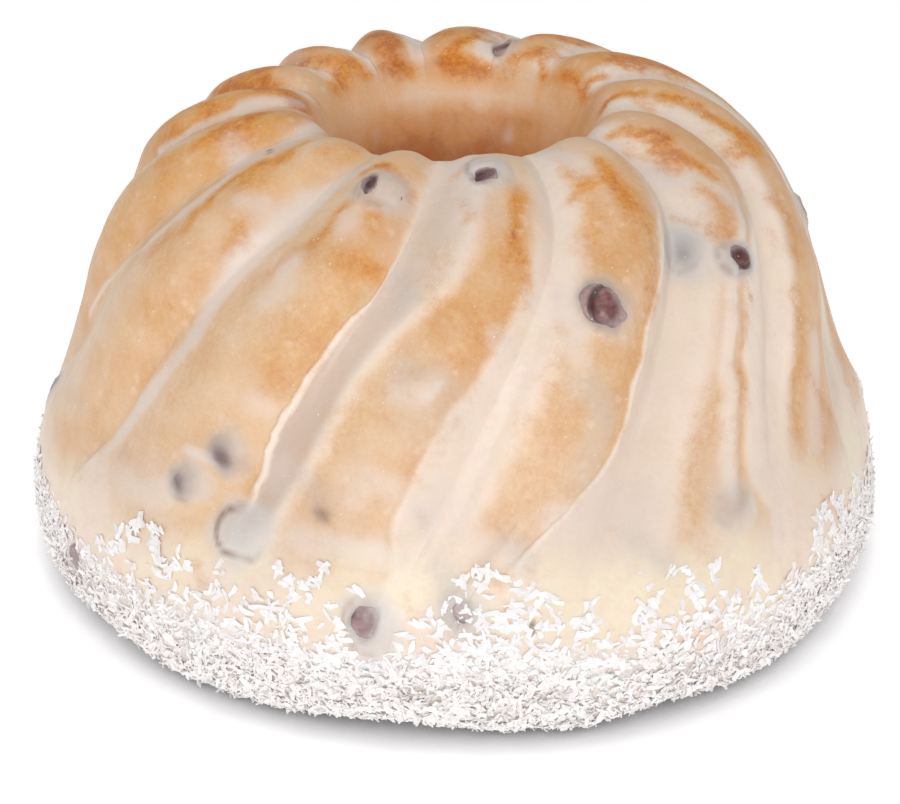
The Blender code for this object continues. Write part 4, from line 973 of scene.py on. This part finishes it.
class Nodes:
    """Short words for building a shader tree."""

    def __init__(self, name):
        self.mat = bpy.data.materials.new(name)
        self.mat.use_nodes = True
        self.tree = self.mat.node_tree
        self.shader = self.tree.nodes["Principled BSDF"]

    def put(self, socket, value):
        if isinstance(value, bpy.types.NodeSocket):
            self.tree.links.new(value, socket)
        elif value is not None:
            socket.default_value = value

    def attr(self, name):
        node = self.tree.nodes.new("ShaderNodeAttribute")
        node.attribute_name = name
        return node.outputs["Fac"]

    def place(self):
        return self.tree.nodes.new("ShaderNodeTexCoord").outputs["Object"]

    def stretch(self, vector, scale):
        node = self.tree.nodes.new("ShaderNodeMapping")
        self.put(node.inputs["Vector"], vector)
        node.inputs["Scale"].default_value = scale
        return node.outputs["Vector"]

    def noise(self, vector, size_mm, detail=2.0, rough=0.55, distortion=0.0):
        node = self.tree.nodes.new("ShaderNodeTexNoise")
        self.put(node.inputs["Vector"], vector)
        node.inputs["Scale"].default_value = 1000.0 / size_mm
        node.inputs["Detail"].default_value = detail
        node.inputs["Roughness"].default_value = rough
        node.inputs["Distortion"].default_value = distortion
        return node.outputs[0]

    def cells(self, vector, size_mm):
        node = self.tree.nodes.new("ShaderNodeTexVoronoi")
        self.put(node.inputs["Vector"], vector)
        node.inputs["Scale"].default_value = 1000.0 / size_mm
        return node.outputs["Distance"], node.outputs["Color"]

    def math(self, op, a, b=None, c=None, clamp=False):
        node = self.tree.nodes.new("ShaderNodeMath")
        node.operation = op
        node.use_clamp = clamp
        for socket, value in zip(node.inputs, (a, b, c)):
            self.put(socket, value)
        return node.outputs[0]

    def step(self, value, low, high):
        node = self.tree.nodes.new("ShaderNodeMapRange")
        node.interpolation_type = "SMOOTHSTEP"
        self.put(node.inputs["Value"], value)
        self.put(node.inputs["From Min"], low)
        self.put(node.inputs["From Max"], high)
        return node.outputs["Result"]

    def mix(self, factor, a, b, blend="MIX"):
        node = self.tree.nodes.new("ShaderNodeMix")
        node.data_type = "RGBA"
        node.blend_type = blend
        node.clamp_factor = True
        self.put(node.inputs[0], factor)
        self.put(node.inputs[6], a)
        self.put(node.inputs[7], b)
        return node.outputs[2]

    def ramp(self, factor, stops):
        node = self.tree.nodes.new("ShaderNodeValToRGB")
        self.put(node.inputs[0], factor)
        elements = node.color_ramp.elements
        while len(elements) < len(stops):
            elements.new(0.5)
        for element, (at, colour) in zip(elements, stops):
            element.position = at
            element.color = colour
        return node.outputs[0]

    def bump(self, height, distance, strength=1.0, normal=None):
        node = self.tree.nodes.new("ShaderNodeBump")
        node.inputs["Strength"].default_value = strength
        node.inputs["Distance"].default_value = distance
        self.put(node.inputs["Height"], height)
        self.put(node.inputs["Normal"], normal)
        return node.outputs[0]


def cake_material():
    m = Nodes("glazed_crust")
    at = m.place()
    film, band, edge, sharp = m.attr("film"), m.attr("band"), m.attr("edge"), m.attr("sharp")
    belly, brown, cream, amber = m.attr("belly"), m.attr("brown"), m.attr("cream"), m.attr("amber")
    channel, rim, wall, white = m.attr("channel"), m.attr("rim"), m.attr("wall"), m.attr("white")
    cool, dark, grey, line = m.attr("cool"), m.attr("dark"), m.attr("grey"), m.attr("line")
    halo, snow, dull = m.attr("halo"), m.attr("snow"), m.attr("dull")
    wide = m.noise(at, 22.0, 2.0, 0.5)
    broad = m.noise(at, 9.0, 3.0, 0.6)
    middle = m.noise(at, 3.2, 3.0, 0.6)
    fine = m.noise(at, 1.1, 3.0, 0.65)
    grain = m.noise(at, 0.38, 2.0, 0.6)
    centred = lambda x, much: m.math("MULTIPLY", m.math("SUBTRACT", x, 0.5), much)
    # crust: peach to golden brown; the stains break up into a lacy grain at their rims
    lace = m.math("ADD", centred(middle, 0.80), m.math("ADD", centred(fine, 0.80), centred(grain, 0.36)))
    much = m.math("ADD", 0.42, m.math("MULTIPLY", amber, m.math("SUBTRACT", 0.90, m.math("MULTIPLY", amber, 0.60))))
    level = m.math("ADD", brown, m.math("MULTIPLY", lace, much), clamp=True)
    golden = m.ramp(level, (
        (0.00, linear(246, 223, 198)), (0.22, linear(239, 205, 168)), (0.40, linear(234, 191, 142)),
        (0.60, linear(232, 174, 100)), (0.80, linear(226, 149, 54)), (1.00, linear(202, 112, 28)),
    ))
    ruddy = m.ramp(level, (
        (0.00, linear(244, 219, 196)), (0.22, linear(237, 200, 168)), (0.40, linear(229, 182, 139)),
        (0.60, linear(223, 163, 101)), (0.80, linear(215, 140, 60)), (1.00, linear(190, 100, 30)),
    ))
    tan = m.ramp(level, (
        (0.00, linear(245, 223, 200)), (0.22, linear(234, 203, 170)), (0.40, linear(225, 188, 149)),
        (0.60, linear(216, 171, 124)), (0.80, linear(210, 155, 100)), (1.00, linear(190, 122, 64)),
    ))
    crust_colour = m.mix(m.step(wide, 0.48, 0.70), golden, ruddy)
    crust_colour = m.mix(m.math("MULTIPLY", dull, 0.85), crust_colour, tan)
    # colour of the hole wall; its darker end is partly browner crust, partly painted shade deep in the hole
    hole_brown_and_shade = m.ramp(level, (
        (0.00, linear(248, 218, 190)), (0.30, linear(243, 205, 166)), (0.55, linear(240, 191, 140)),
        (0.80, linear(232, 172, 114)), (1.00, linear(212, 144, 88)), (1.00, linear(212, 144, 88)),
    ))
    crust_colour = m.mix(wall, crust_colour, hole_brown_and_shade)
    # small pale dapples of sugar in the crust
    near, chance = m.cells(at, 2.9)
    dapple = m.math("MULTIPLY", m.step(m.math("ADD", near, centred(fine, 0.30)), 0.42, 0.12), m.step(chance, 0.45, 0.60))
    dapple = m.math("MULTIPLY", dapple, m.math("SUBTRACT", 1.0, wall))
    crust_colour = m.mix(m.math("MULTIPLY", dapple, m.math("MULTIPLY", m.step(broad, 0.30, 0.65), 0.30)), crust_colour, linear(246, 224, 200))
    # glaze
    pinkish, creamy = linear(243, 225, 212), linear(245, 234, 208)
    glaze = m.mix(m.step(broad, 0.35, 0.70), pinkish, linear(240, 224, 206))
    glaze = m.mix(m.math("MULTIPLY", cream, 0.8), glaze, creamy)
    glaze = m.mix(m.math("MULTIPLY", m.step(middle, 0.40, 0.75), 0.4), glaze, linear(232, 210, 192))
    # painted shade: the glaze in the groove's channel turns darker pinkish grey
    glaze = m.mix(m.math("MULTIPLY", channel, 0.90), glaze, linear(198, 173, 157))
    # whiter along the raised rims: partly thicker glaze, partly a painted highlight on the lip
    glaze = m.mix(m.math("MULTIPLY", rim, 0.55), glaze, linear(250, 236, 222))
    # crisp or soft edge of the bands
    jag = centred(m.noise(at, 2.2, 2.0, 0.6), 0.9)
    reach = m.math("ADD", m.math("MULTIPLY", m.math("SUBTRACT", 1.0, sharp), 2.6), 0.30)
    shifted = m.math("ADD", edge, m.math("MULTIPLY", jag, sharp))
    inside_band = m.step(m.math("DIVIDE", shifted, reach), -1.0, 1.0)
    band_cover = m.math("MULTIPLY", m.math("MULTIPLY", band, inside_band), 0.92)
    thin = m.math("ADD", film, m.math("ADD", centred(middle, 0.50), centred(broad, 0.36)), clamp=True)
    cover = m.math("MAXIMUM", thin, m.math("MULTIPLY", belly, m.math("ADD", 0.74, m.math("MULTIPLY", broad, 0.24))))
    cover = m.math("MAXIMUM", cover, band_cover)
    strands = m.math("ADD", white, m.math("MULTIPLY", centred(middle, 0.35), white))
    cover = m.math("MAXIMUM", cover, m.math("MULTIPLY", strands, 0.90))
    bare = m.step(m.math("ADD", amber, m.math("MULTIPLY", lace, 0.6)), 0.05, 0.75)
    cover = m.math("MULTIPLY", cover, m.math("SUBTRACT", 1.0, m.math("MULTIPLY", bare, 0.85)))
    cover = m.math("ADD", cover, m.math("ADD", centred(fine, 0.16), centred(middle, 0.10)), clamp=True)
    colour = m.mix(cover, crust_colour, glaze)
    lilac = m.math("MULTIPLY", m.math("MULTIPLY", white, m.math("SUBTRACT", 1.0, belly)), 0.55)
    colour = m.mix(lilac, colour, linear(222, 208, 200))
    colour = m.mix(m.math("MULTIPLY", cool, 0.78), colour, linear(200, 195, 192))
    colour = m.mix(m.math("MULTIPLY", halo, 0.74), colour, linear(218, 213, 210))
    # fruit seen through the glaze, including the painted shade on its lower left side
    colour = m.mix(m.math("MULTIPLY", grey, 1.0), colour, m.mix(m.step(grey, 0.45, 0.9), linear(152, 146, 148), linear(112, 96, 100)))
    colour = m.mix(m.math("MULTIPLY", line, 0.75), colour, linear(142, 108, 90))
    colour = m.mix(dark, colour, linear(96, 54, 48))
    # coconut-white bed under the flakes; its darker lilac patches are painted shade between the crumbs
    colour = m.mix(m.math("MULTIPLY", snow, 0.88), colour, m.mix(m.step(fine, 0.35, 0.65), linear(216, 204, 200), linear(241, 234, 230)))
    # small pale specks and pin-holes
    far, random = m.cells(at, 2.2)
    pick = m.step(m.math("MULTIPLY", random, 1.0), 0.55, 0.60)
    speck = m.math("MULTIPLY", m.step(far, 0.12, 0.05), pick)
    colour = m.mix(m.math("MULTIPLY", speck, 0.60), colour, linear(255, 248, 238))
    m.put(m.shader.inputs["Base Color"], colour)
    # gloss and relief
    gloss = m.math("ADD", 0.32, m.math("MULTIPLY", middle, 0.16))
    m.put(m.shader.inputs["Roughness"], m.math("ADD", gloss, m.math("MULTIPLY", m.math("SUBTRACT", 1.0, cover), 0.08)))
    m.put(m.shader.inputs["Specular IOR Level"], m.math("ADD", 0.28, m.math("MULTIPLY", cover, 0.18)))
    m.shader.inputs["Subsurface Weight"].default_value = 0.30
    m.shader.inputs["Subsurface Radius"].default_value = (1.0, 0.6, 0.35)
    m.shader.inputs["Subsurface Scale"].default_value = 0.0010
    m.shader.inputs["Coat Weight"].default_value = 0.10
    m.shader.inputs["Coat Roughness"].default_value = 0.20
    relief = m.math("ADD", m.math("MULTIPLY", middle, 0.5), m.math("MULTIPLY", fine, 0.22))
    relief = m.math("ADD", relief, m.math("MULTIPLY", inside_band, m.math("MULTIPLY", band, 0.55)))
    relief = m.math("ADD", relief, m.math("MULTIPLY", speck, 0.25))
    relief = m.math("ADD", relief, m.math("MULTIPLY", m.math("MULTIPLY", grain, amber), 0.14))
    relief = m.math("ADD", relief, m.math("MULTIPLY", m.math("MULTIPLY", fine, snow), 1.2))
    m.put(m.shader.inputs["Normal"], m.bump(relief, 0.00045, 0.75))
    return m.mat


def raisin_material():
    m = Nodes("raisin_skin")
    at = m.place()
    film, crease, red = m.attr("film"), m.attr("crease"), m.attr("red")
    middle = m.noise(at, 2.4, 3.0, 0.6)
    fine = m.noise(at, 0.7, 3.0, 0.6)
    skin = m.mix(m.step(middle, 0.35, 0.70), linear(88, 40, 40), linear(136, 80, 74))
    skin = m.mix(red, skin, m.mix(m.step(middle, 0.3, 0.7), linear(112, 54, 50), linear(150, 92, 84)))
    # painted shade: the skin is darkest in its folds
    skin = m.mix(crease, skin, linear(66, 22, 24))
    veil = m.mix(m.step(fine, 0.3, 0.8), linear(186, 168, 168), linear(206, 192, 188))
    amount = m.math("ADD", film, m.math("MULTIPLY", m.math("SUBTRACT", middle, 0.5), 0.30), clamp=True)
    colour = m.mix(amount, skin, veil)
    far, random = m.cells(at, 1.5)
    speck = m.math("MULTIPLY", m.step(far, 0.14, 0.06), m.step(random, 0.50, 0.55))
    colour = m.mix(m.math("MULTIPLY", speck, 0.55), colour, linear(236, 214, 204))
    m.put(m.shader.inputs["Base Color"], colour)
    m.put(m.shader.inputs["Roughness"], m.math("ADD", 0.28, m.math("MULTIPLY", fine, 0.2)))
    m.shader.inputs["Subsurface Weight"].default_value = 0.25
    m.shader.inputs["Subsurface Radius"].default_value = (1.0, 0.5, 0.4)
    m.shader.inputs["Subsurface Scale"].default_value = 0.0015
    m.shader.inputs["Coat Weight"].default_value = 0.25
    m.shader.inputs["Coat Roughness"].default_value = 0.18
    m.put(m.shader.inputs["Normal"], m.bump(m.math("ADD", middle, m.math("MULTIPLY", fine, 0.4)), 0.0003, 0.6))
    return m.mat


def coconut_material():
    m = Nodes("dried_coconut")
    at = m.place()
    tone = m.attr("tone")
    streak = m.noise(at, 0.5, 2.0, 0.6)
    colour = m.mix(tone, linear(238, 232, 231), linear(253, 251, 250))
    colour = m.mix(m.math("MULTIPLY", m.step(streak, 0.45, 0.75), 0.20), colour, linear(232, 224, 222))
    m.put(m.shader.inputs["Base Color"], colour)
    m.put(m.shader.inputs["Roughness"], m.math("ADD", 0.5, m.math("MULTIPLY", streak, 0.2)))
    m.shader.inputs["Specular IOR Level"].default_value = 0.4
    m.put(m.shader.inputs["Normal"], m.bump(streak, 0.0001, 0.4))
    return m.mat


def floor_material():
    m = Nodes("floor_painted_shadow")
    # painted shadow: the floor's colour and glow dim where the cake hems it in, giving a soft grey ring round it and a
    # dark contact shadow under its edge; elsewhere it glows evenly white
    near = m.tree.nodes.new("ShaderNodeAmbientOcclusion")
    near.samples = 4
    near.inputs["Distance"].default_value = 0.010
    open_air = m.step(near.outputs["AO"], 0.0, 0.85)
    contact_shadow = m.step(near.outputs["AO"], 0.0, 0.40)
    soft_shadow_tint = m.mix(open_air, linear(206, 206, 210), linear(252, 252, 252))
    m.put(m.shader.inputs["Base Color"], m.mix(contact_shadow, linear(110, 108, 110), soft_shadow_tint))
    m.shader.inputs["Roughness"].default_value = 0.9
    m.shader.inputs["Specular IOR Level"].default_value = 0.1
    m.shader.inputs["Emission Color"].default_value = (1.0, 1.0, 1.0, 1.0)
    # the glow is weaker inside the painted shadow
    m.put(m.shader.inputs["Emission Strength"], m.math("ADD", 0.02, m.math("ADD", m.math("MULTIPLY", contact_shadow, 0.12), m.math("MULTIPLY", open_air, 0.23))))
    return m.mat


# ================================================================ build: cake
PLACES = rows_of_section()
ACROSS = columns_of_flute()
S, U = np.meshgrid(PLACES, np.concatenate([k + ACROSS for k in range(FLUTES)]), indexing="ij")
azimuths, points, fields = glazed(U, S)
rows, cols = S.shape
a = np.arange(rows)[:, None] * cols + np.arange(cols)[None, :]
b = np.roll(a, -1, axis=1)
below = np.roll(a, -1, axis=0)
below_b = np.roll(below, -1, axis=1)
quads = np.stack([a, below, below_b, b], axis=-1).reshape(-1, 4)
cake = new_mesh("cake_glazed", points, quads)
for key in ("film", "band", "edge", "sharp", "belly", "brown", "amber", "white", "cool", "cream", "dark", "channel",
            "rim", "wall", "dull", "grey", "line", "halo", "snow"):
    set_attribute(cake, key, fields[key])
cake.data.materials.append(cake_material())
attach(cake, "root")
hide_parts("cake")


# ================================================================ build: raisins
def build_raisin(r, skin):
    """A wrinkled, squashed fruit, bare where the glaze has left a window."""
    segments, rings = 56, 34
    lat = (np.arange(1, rings) / rings * np.pi)[:, None]
    lon = (np.arange(segments) / segments * 2.0 * np.pi)[None, :]
    d = np.stack([np.sin(lat) * np.cos(lon), np.sin(lat) * np.sin(lon), np.cos(lat) + 0.0 * lon], axis=-1).reshape(-1, 3)
    d = np.concatenate([d, [[0.0, 0.0, 1.0], [0.0, 0.0, -1.0]]])
    flat = (np.abs(d) ** 2.4).sum(axis=1)
    shift = d + r.seed * 7.0
    fold = np.abs(noise(shift, 0.50, 91)) ** 0.7
    small = np.abs(noise(shift, 0.22, 92))
    scale = 1.0 / flat ** (1.0 / 2.4) * (1.0 - 0.050 * (1.0 - fold) - 0.020 * (1.0 - small))
    loc = d * scale[:, None] * r.half
    p = r.centre + loc[:, :1] * r.x + loc[:, 1:2] * r.y + loc[:, 2:3] * r.normal
    # a deep fold along an arc
    x, y = r.across(p)
    cx, cy, radius, start, end = (0.28, 0.12, 0.82, 95.0, 310.0) if r.number == 1 else \
        (0.2 * math.sin(r.seed), 0.2 * math.cos(r.seed), 0.55, 60.0 + 40.0 * math.sin(2.0 * r.seed), 230.0)
    angle = np.degrees(np.arctan2(y - cy, x - cx)) % 360.0
    span = smooth(start - 15.0, start + 15.0, angle) * smooth(end + 15.0, end - 15.0, angle)
    crease = np.exp(-((np.hypot(x - cx, y - cy) - radius) / 0.11) ** 2) * span
    rel = p - r.centre
    upper = smooth(0.0, 0.35, (rel @ r.normal) / r.half[2])
    p = p - r.normal * (crease * upper * (0.00060 if r.number == 1 else 0.0003))[:, None]
    north, south = len(d) - 2, len(d) - 1
    quads = []
    for i in range(rings - 2):
        for j in range(segments):
            j2 = (j + 1) % segments
            quads.append((i * segments + j, (i + 1) * segments + j, (i + 1) * segments + j2, i * segments + j2))
    mesh = bpy.data.meshes.new(r.name + "_fruit")
    faces = [tuple(q) for q in quads]
    faces += [(north, j, (j + 1) % segments) for j in range(segments)]
    last = (rings - 2) * segments
    faces += [(south, last + (j + 1) % segments, last + j) for j in range(segments)]
    mesh.from_pydata([tuple(v) for v in p], [], faces)
    mesh.shade_smooth()
    ob = bpy.data.objects.new(r.name + "_fruit", mesh)
    bpy.context.scene.collection.objects.link(ob)
    win = r.window(p)
    film = np.clip(r.film + smooth(0.55, 1.0, win) * (0.55 - 0.5 * r.film), 0.0, 1.0)
    # folds keep less film and are painted darkest: painted shade in the wrinkles
    set_attribute(ob, "film", np.clip(film * (1.0 - 0.7 * crease), 0.0, 1.0))
    set_attribute(ob, "crease", np.clip(crease * upper + 0.6 * (1.0 - fold) * smooth(0.9, 0.5, fold), 0.0, 1.0))
    set_attribute(ob, "red", np.full(len(p), 1.0 if r.number == 1 else 0.35 if r.number in (9, 13) else 0.1))
    mesh.materials.append(skin)
    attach(ob, "root")
    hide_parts(r.name)


skin = raisin_material()
for r in raisins:
    build_raisin(r, skin)

# ================================================================ build: coconut
def surface_at(u, s):
    """Azimuth, point and normal of the glaze at scattered places."""
    h = 0.012
    az_deg, p = crust(u, s)
    du = crust(u + h, s)[1] - crust(u - h, s)[1]
    ds = crust(u, np.minimum(s + 0.004, 0.999))[1] - crust(u, s - 0.004)[1]
    n = np.cross(ds, du)
    n /= np.maximum(np.linalg.norm(n, axis=-1, keepdims=True), 1e-12)
    on_side = smooth(0.995, 0.93, s)
    bed = coconut_edges(az_deg)[1]
    out = 0.62 * on_side + foot_relief(s, p, bed) * on_side
    return az_deg, p + n * out[:, None] / 1000.0, n


def scatter(rng, count, low, high, density):
    """Places spread evenly over the outside between two places, kept by a density."""
    s = rng.uniform(low, high, count)
    u = rng.uniform(0.0, FLUTES, count)
    reach = np.interp(s, FINE_S, spline(1, FINE_S))
    speed = np.interp(s, FINE_S, np.gradient(FINE_ARC, FINE_S))
    keep = rng.uniform(0, 1, len(s)) < reach * speed / (reach * speed).max()
    u, s = u[keep], s[keep]
    az_deg, p, n = surface_at(u, s)
    top, bed = coconut_edges(az_deg)
    chance = density(s, top, bed, p, az_deg)
    for r in raisins:
        far, z = r.reach(p)
        skip = 0.88 if r.name != "raisin_12" else 0.30
        chance = chance * np.where((far < 1.0) & (np.abs(z) < 0.006), 1.0 - skip, 1.0)
    keep = rng.uniform(0, 1, len(s)) < chance
    return p[keep], n[keep], s[keep], bed[keep]


def slivers(name, rng, p, n, length, width, thick, lift, tilt, curl, stations, mat):
    """Thin bent plates with ragged sides, one for each point."""
    count = len(p)
    turn = rng.uniform(0, 2 * np.pi, count)
    ref = np.cross(n, [0.0, 0.0, 1.0])
    ref /= np.maximum(np.linalg.norm(ref, axis=1, keepdims=True), 1e-9)
    other = np.cross(n, ref)
    flat = np.cos(turn)[:, None] * ref + np.sin(turn)[:, None] * other
    slope = tilt * rng.normal(0, 1, count)
    axis = np.cos(slope)[:, None] * flat + np.sin(slope)[:, None] * n
    side = np.cross(n, flat)
    up = np.cross(axis, side)
    roll = rng.normal(0, 1, count) * tilt * 1.4
    side, up = np.cos(roll)[:, None] * side + np.sin(roll)[:, None] * up, -np.sin(roll)[:, None] * side + np.cos(roll)[:, None] * up
    t = np.linspace(-1.0, 1.0, stations)
    verts = np.empty((count, stations, 4, 3))
    bend = curl * rng.normal(0, 1, count)
    sway = 0.30 * rng.normal(0, 1, count)
    skew = 0.30 * rng.normal(0, 1, count)
    for i in range(stations):
        at_end = i in (0, stations - 1)
        wide = width * (rng.uniform(0.35, 1.0, count) if at_end else rng.uniform(0.85, 1.15, count)) / 2.0
        tall = thick * rng.uniform(0.7, 1.2, count) / 2.0 * (0.7 if at_end else 1.0)
        centre = p + n * lift[:, None] + axis * (length * t[i] / 2.0)[:, None] + up * (bend * length * (t[i] ** 2 - 0.4))[:, None] \
            + side * (sway * width * t[i] ** 2)[:, None]
        for c, (x, y) in enumerate(((-1, -1), (1, -1), (1, 1), (-1, 1))):
            verts[:, i, c] = centre + side * (x * wide)[:, None] + up * (y * tall)[:, None] + axis * (x * skew * wide)[:, None]
    low = verts[..., 2].reshape(count, -1).min(axis=1)
    verts[..., 2] += np.maximum(0.0002 - low, 0.0)[:, None, None]
    one = []
    for i in range(stations - 1):
        for c in range(4):
            d = (c + 1) % 4
            one.append((4 * i + c, 4 * i + d, 4 * i + 4 + d, 4 * i + 4 + c))
    one.append((3, 2, 1, 0))
    e = 4 * (stations - 1)
    one.append((e, e + 1, e + 2, e + 3))
    one = np.array(one)
    quads = (one[None] + (np.arange(count) * stations * 4)[:, None, None]).reshape(-1, 4)
    ob = new_mesh(name, verts, quads, smooth_shade=False)
    set_attribute(ob, "tone", np.repeat(rng.uniform(0, 1, count), stations * 4))
    ob.data.materials.append(mat)
    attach(ob, "root")
    return ob


coconut = coconut_material()
rng = np.random.default_rng(404)


def flake_chance(s, top, bed, p, az_deg):
    clump = smooth(-0.30, 0.45, noise(p, 0.0070, 101) + 0.45 * noise(p, 0.0030, 103))
    among = np.clip((s - top) / (bed - top), 0.0, 1.0)
    loose = smooth(-0.004, 0.010, s - top) * (0.02 + (0.22 + 0.60 * among) * clump + 0.28 * among)
    heaps = strokes(COCONUT_HEAPS, az_deg, s, 0.0 * s, (0.30, 0.70))
    return np.clip(np.maximum(0.62 * loose, 0.62 * heaps), 0, 1) * (1.0 - 0.30 * smooth(-0.01, 0.03, s - bed)) * smooth(1.0, 0.97, s)


def shred_chance(s, top, bed, p, az_deg):
    clump = smooth(-0.30, 0.45, noise(p, 0.0060, 102))
    among = np.clip((s - top) / (bed - top), 0.0, 1.0)
    return np.clip(smooth(-0.025, 0.015, s - bed) + 0.22 * among * clump + 0.05 * smooth(0.0, 0.01, s - top), 0, 1)


def crumb_chance(s, top, bed, p, az_deg):
    among = np.clip((s - top) / (bed - top), 0.0, 1.0)
    return np.clip(smooth(-0.020, 0.015, s - bed) + 0.16 * among ** 2 + 0.03 * smooth(0.0, 0.01, s - top), 0, 1)


p, n, s_at, bed_at = scatter(rng, 42000, 0.66, 0.995, flake_chance)
p, n, s_at, bed_at = p[:9900], n[:9900], s_at[:9900], bed_at[:9900]
count = len(p)
slivers("coconut_flakes", rng, p, n, rng.uniform(1.3, 3.5, count) / 1000.0, rng.uniform(0.6, 1.35, count) / 1000.0,
        0.26 / 1000.0 * np.ones(count), (0.12 + 0.7 * smooth(0.0, 0.06, s_at - bed_at) * rng.uniform(0, 1, count)) / 1000.0,
        0.13 + 0.22 * smooth(-0.02, 0.04, s_at - bed_at), 0.06, 3, coconut)
p, n, s_at, bed_at = scatter(rng, 24000, 0.68, 0.999, shred_chance)
p, n, s_at, bed_at = p[:9800], n[:9800], s_at[:9800], bed_at[:9800]
count = len(p)
slivers("coconut_shreds", rng, p, n, rng.uniform(1.3, 3.0, count) / 1000.0, rng.uniform(0.4, 0.9, count) / 1000.0,
        0.22 / 1000.0 * np.ones(count), (0.1 + 0.7 * smooth(0.0, 0.06, s_at - bed_at) * rng.uniform(0, 1, count)) / 1000.0,
        0.24 + 0.20 * smooth(-0.01, 0.05, s_at - bed_at), 0.08, 3, coconut)
p, n, s_at, bed_at = scatter(rng, 36000, 0.68, 0.999, crumb_chance)
p, n, s_at, bed_at = p[:16000], n[:16000], s_at[:16000], bed_at[:16000]
count = len(p)
slivers("coconut_crumbs", rng, p, n, rng.uniform(0.6, 1.5, count) / 1000.0, rng.uniform(0.35, 0.8, count) / 1000.0,
        0.32 / 1000.0 * np.ones(count), (0.1 + 0.9 * smooth(0.0, 0.06, s_at - bed_at) * rng.uniform(0, 1, count)) / 1000.0,
        0.42 * np.ones(count), 0.0, 2, coconut)

# ================================================================ floor, light and camera
bpy.ops.mesh.primitive_plane_add(size=6.0, location=(0.0, 0.0, -0.0001))
floor = bpy.context.object
floor.name = "floor"
floor.data.materials.append(floor_material())

scene = bpy.context.scene
scene.view_settings.view_transform = "Standard"
world = bpy.data.worlds.new("studio")
world.use_nodes = True
world.node_tree.nodes["Background"].inputs[0].default_value = (1.0, 1.0, 1.0, 1.0)
world.node_tree.nodes["Background"].inputs[1].default_value = 0.47
scene.world = world


def area_light(name, location, target, size, power):
    light = bpy.data.lights.new(name, "AREA")
    light.shape = "DISK"
    light.size = size
    light.energy = power
    ob = bpy.data.objects.new(name, light)
    scene.collection.objects.link(ob)
    ob.location = location
    direction = np.array(target, float) - np.array(location, float)
    from mathutils import Vector
    ob.rotation_euler = Vector(direction).to_track_quat("-Z", "Y").to_euler()
    return ob


area_light("overhead", (-0.08, 0.10, 1.20), (0.0, 0.0, 0.05), 0.8, 2.2)
area_light("front", (-0.05, -1.40, 0.55), (0.0, 0.0, 0.05), 0.9, 8.6)

camera_data = bpy.data.cameras.new("camera")
camera_data.sensor_width = 36.0
camera_data.lens = 78.96
camera_data.clip_start = 0.01
camera_data.clip_end = 20.0
camera = bpy.data.objects.new("camera", camera_data)
scene.collection.objects.link(camera)
camera.location = (0.0, -4.2 * BELLY_R, 2.565 * BELLY_R)
camera.rotation_euler = (math.radians(90.0 - 28.76), 0.0, math.atan(5.7 / 1974.0))
scene.camera = camera
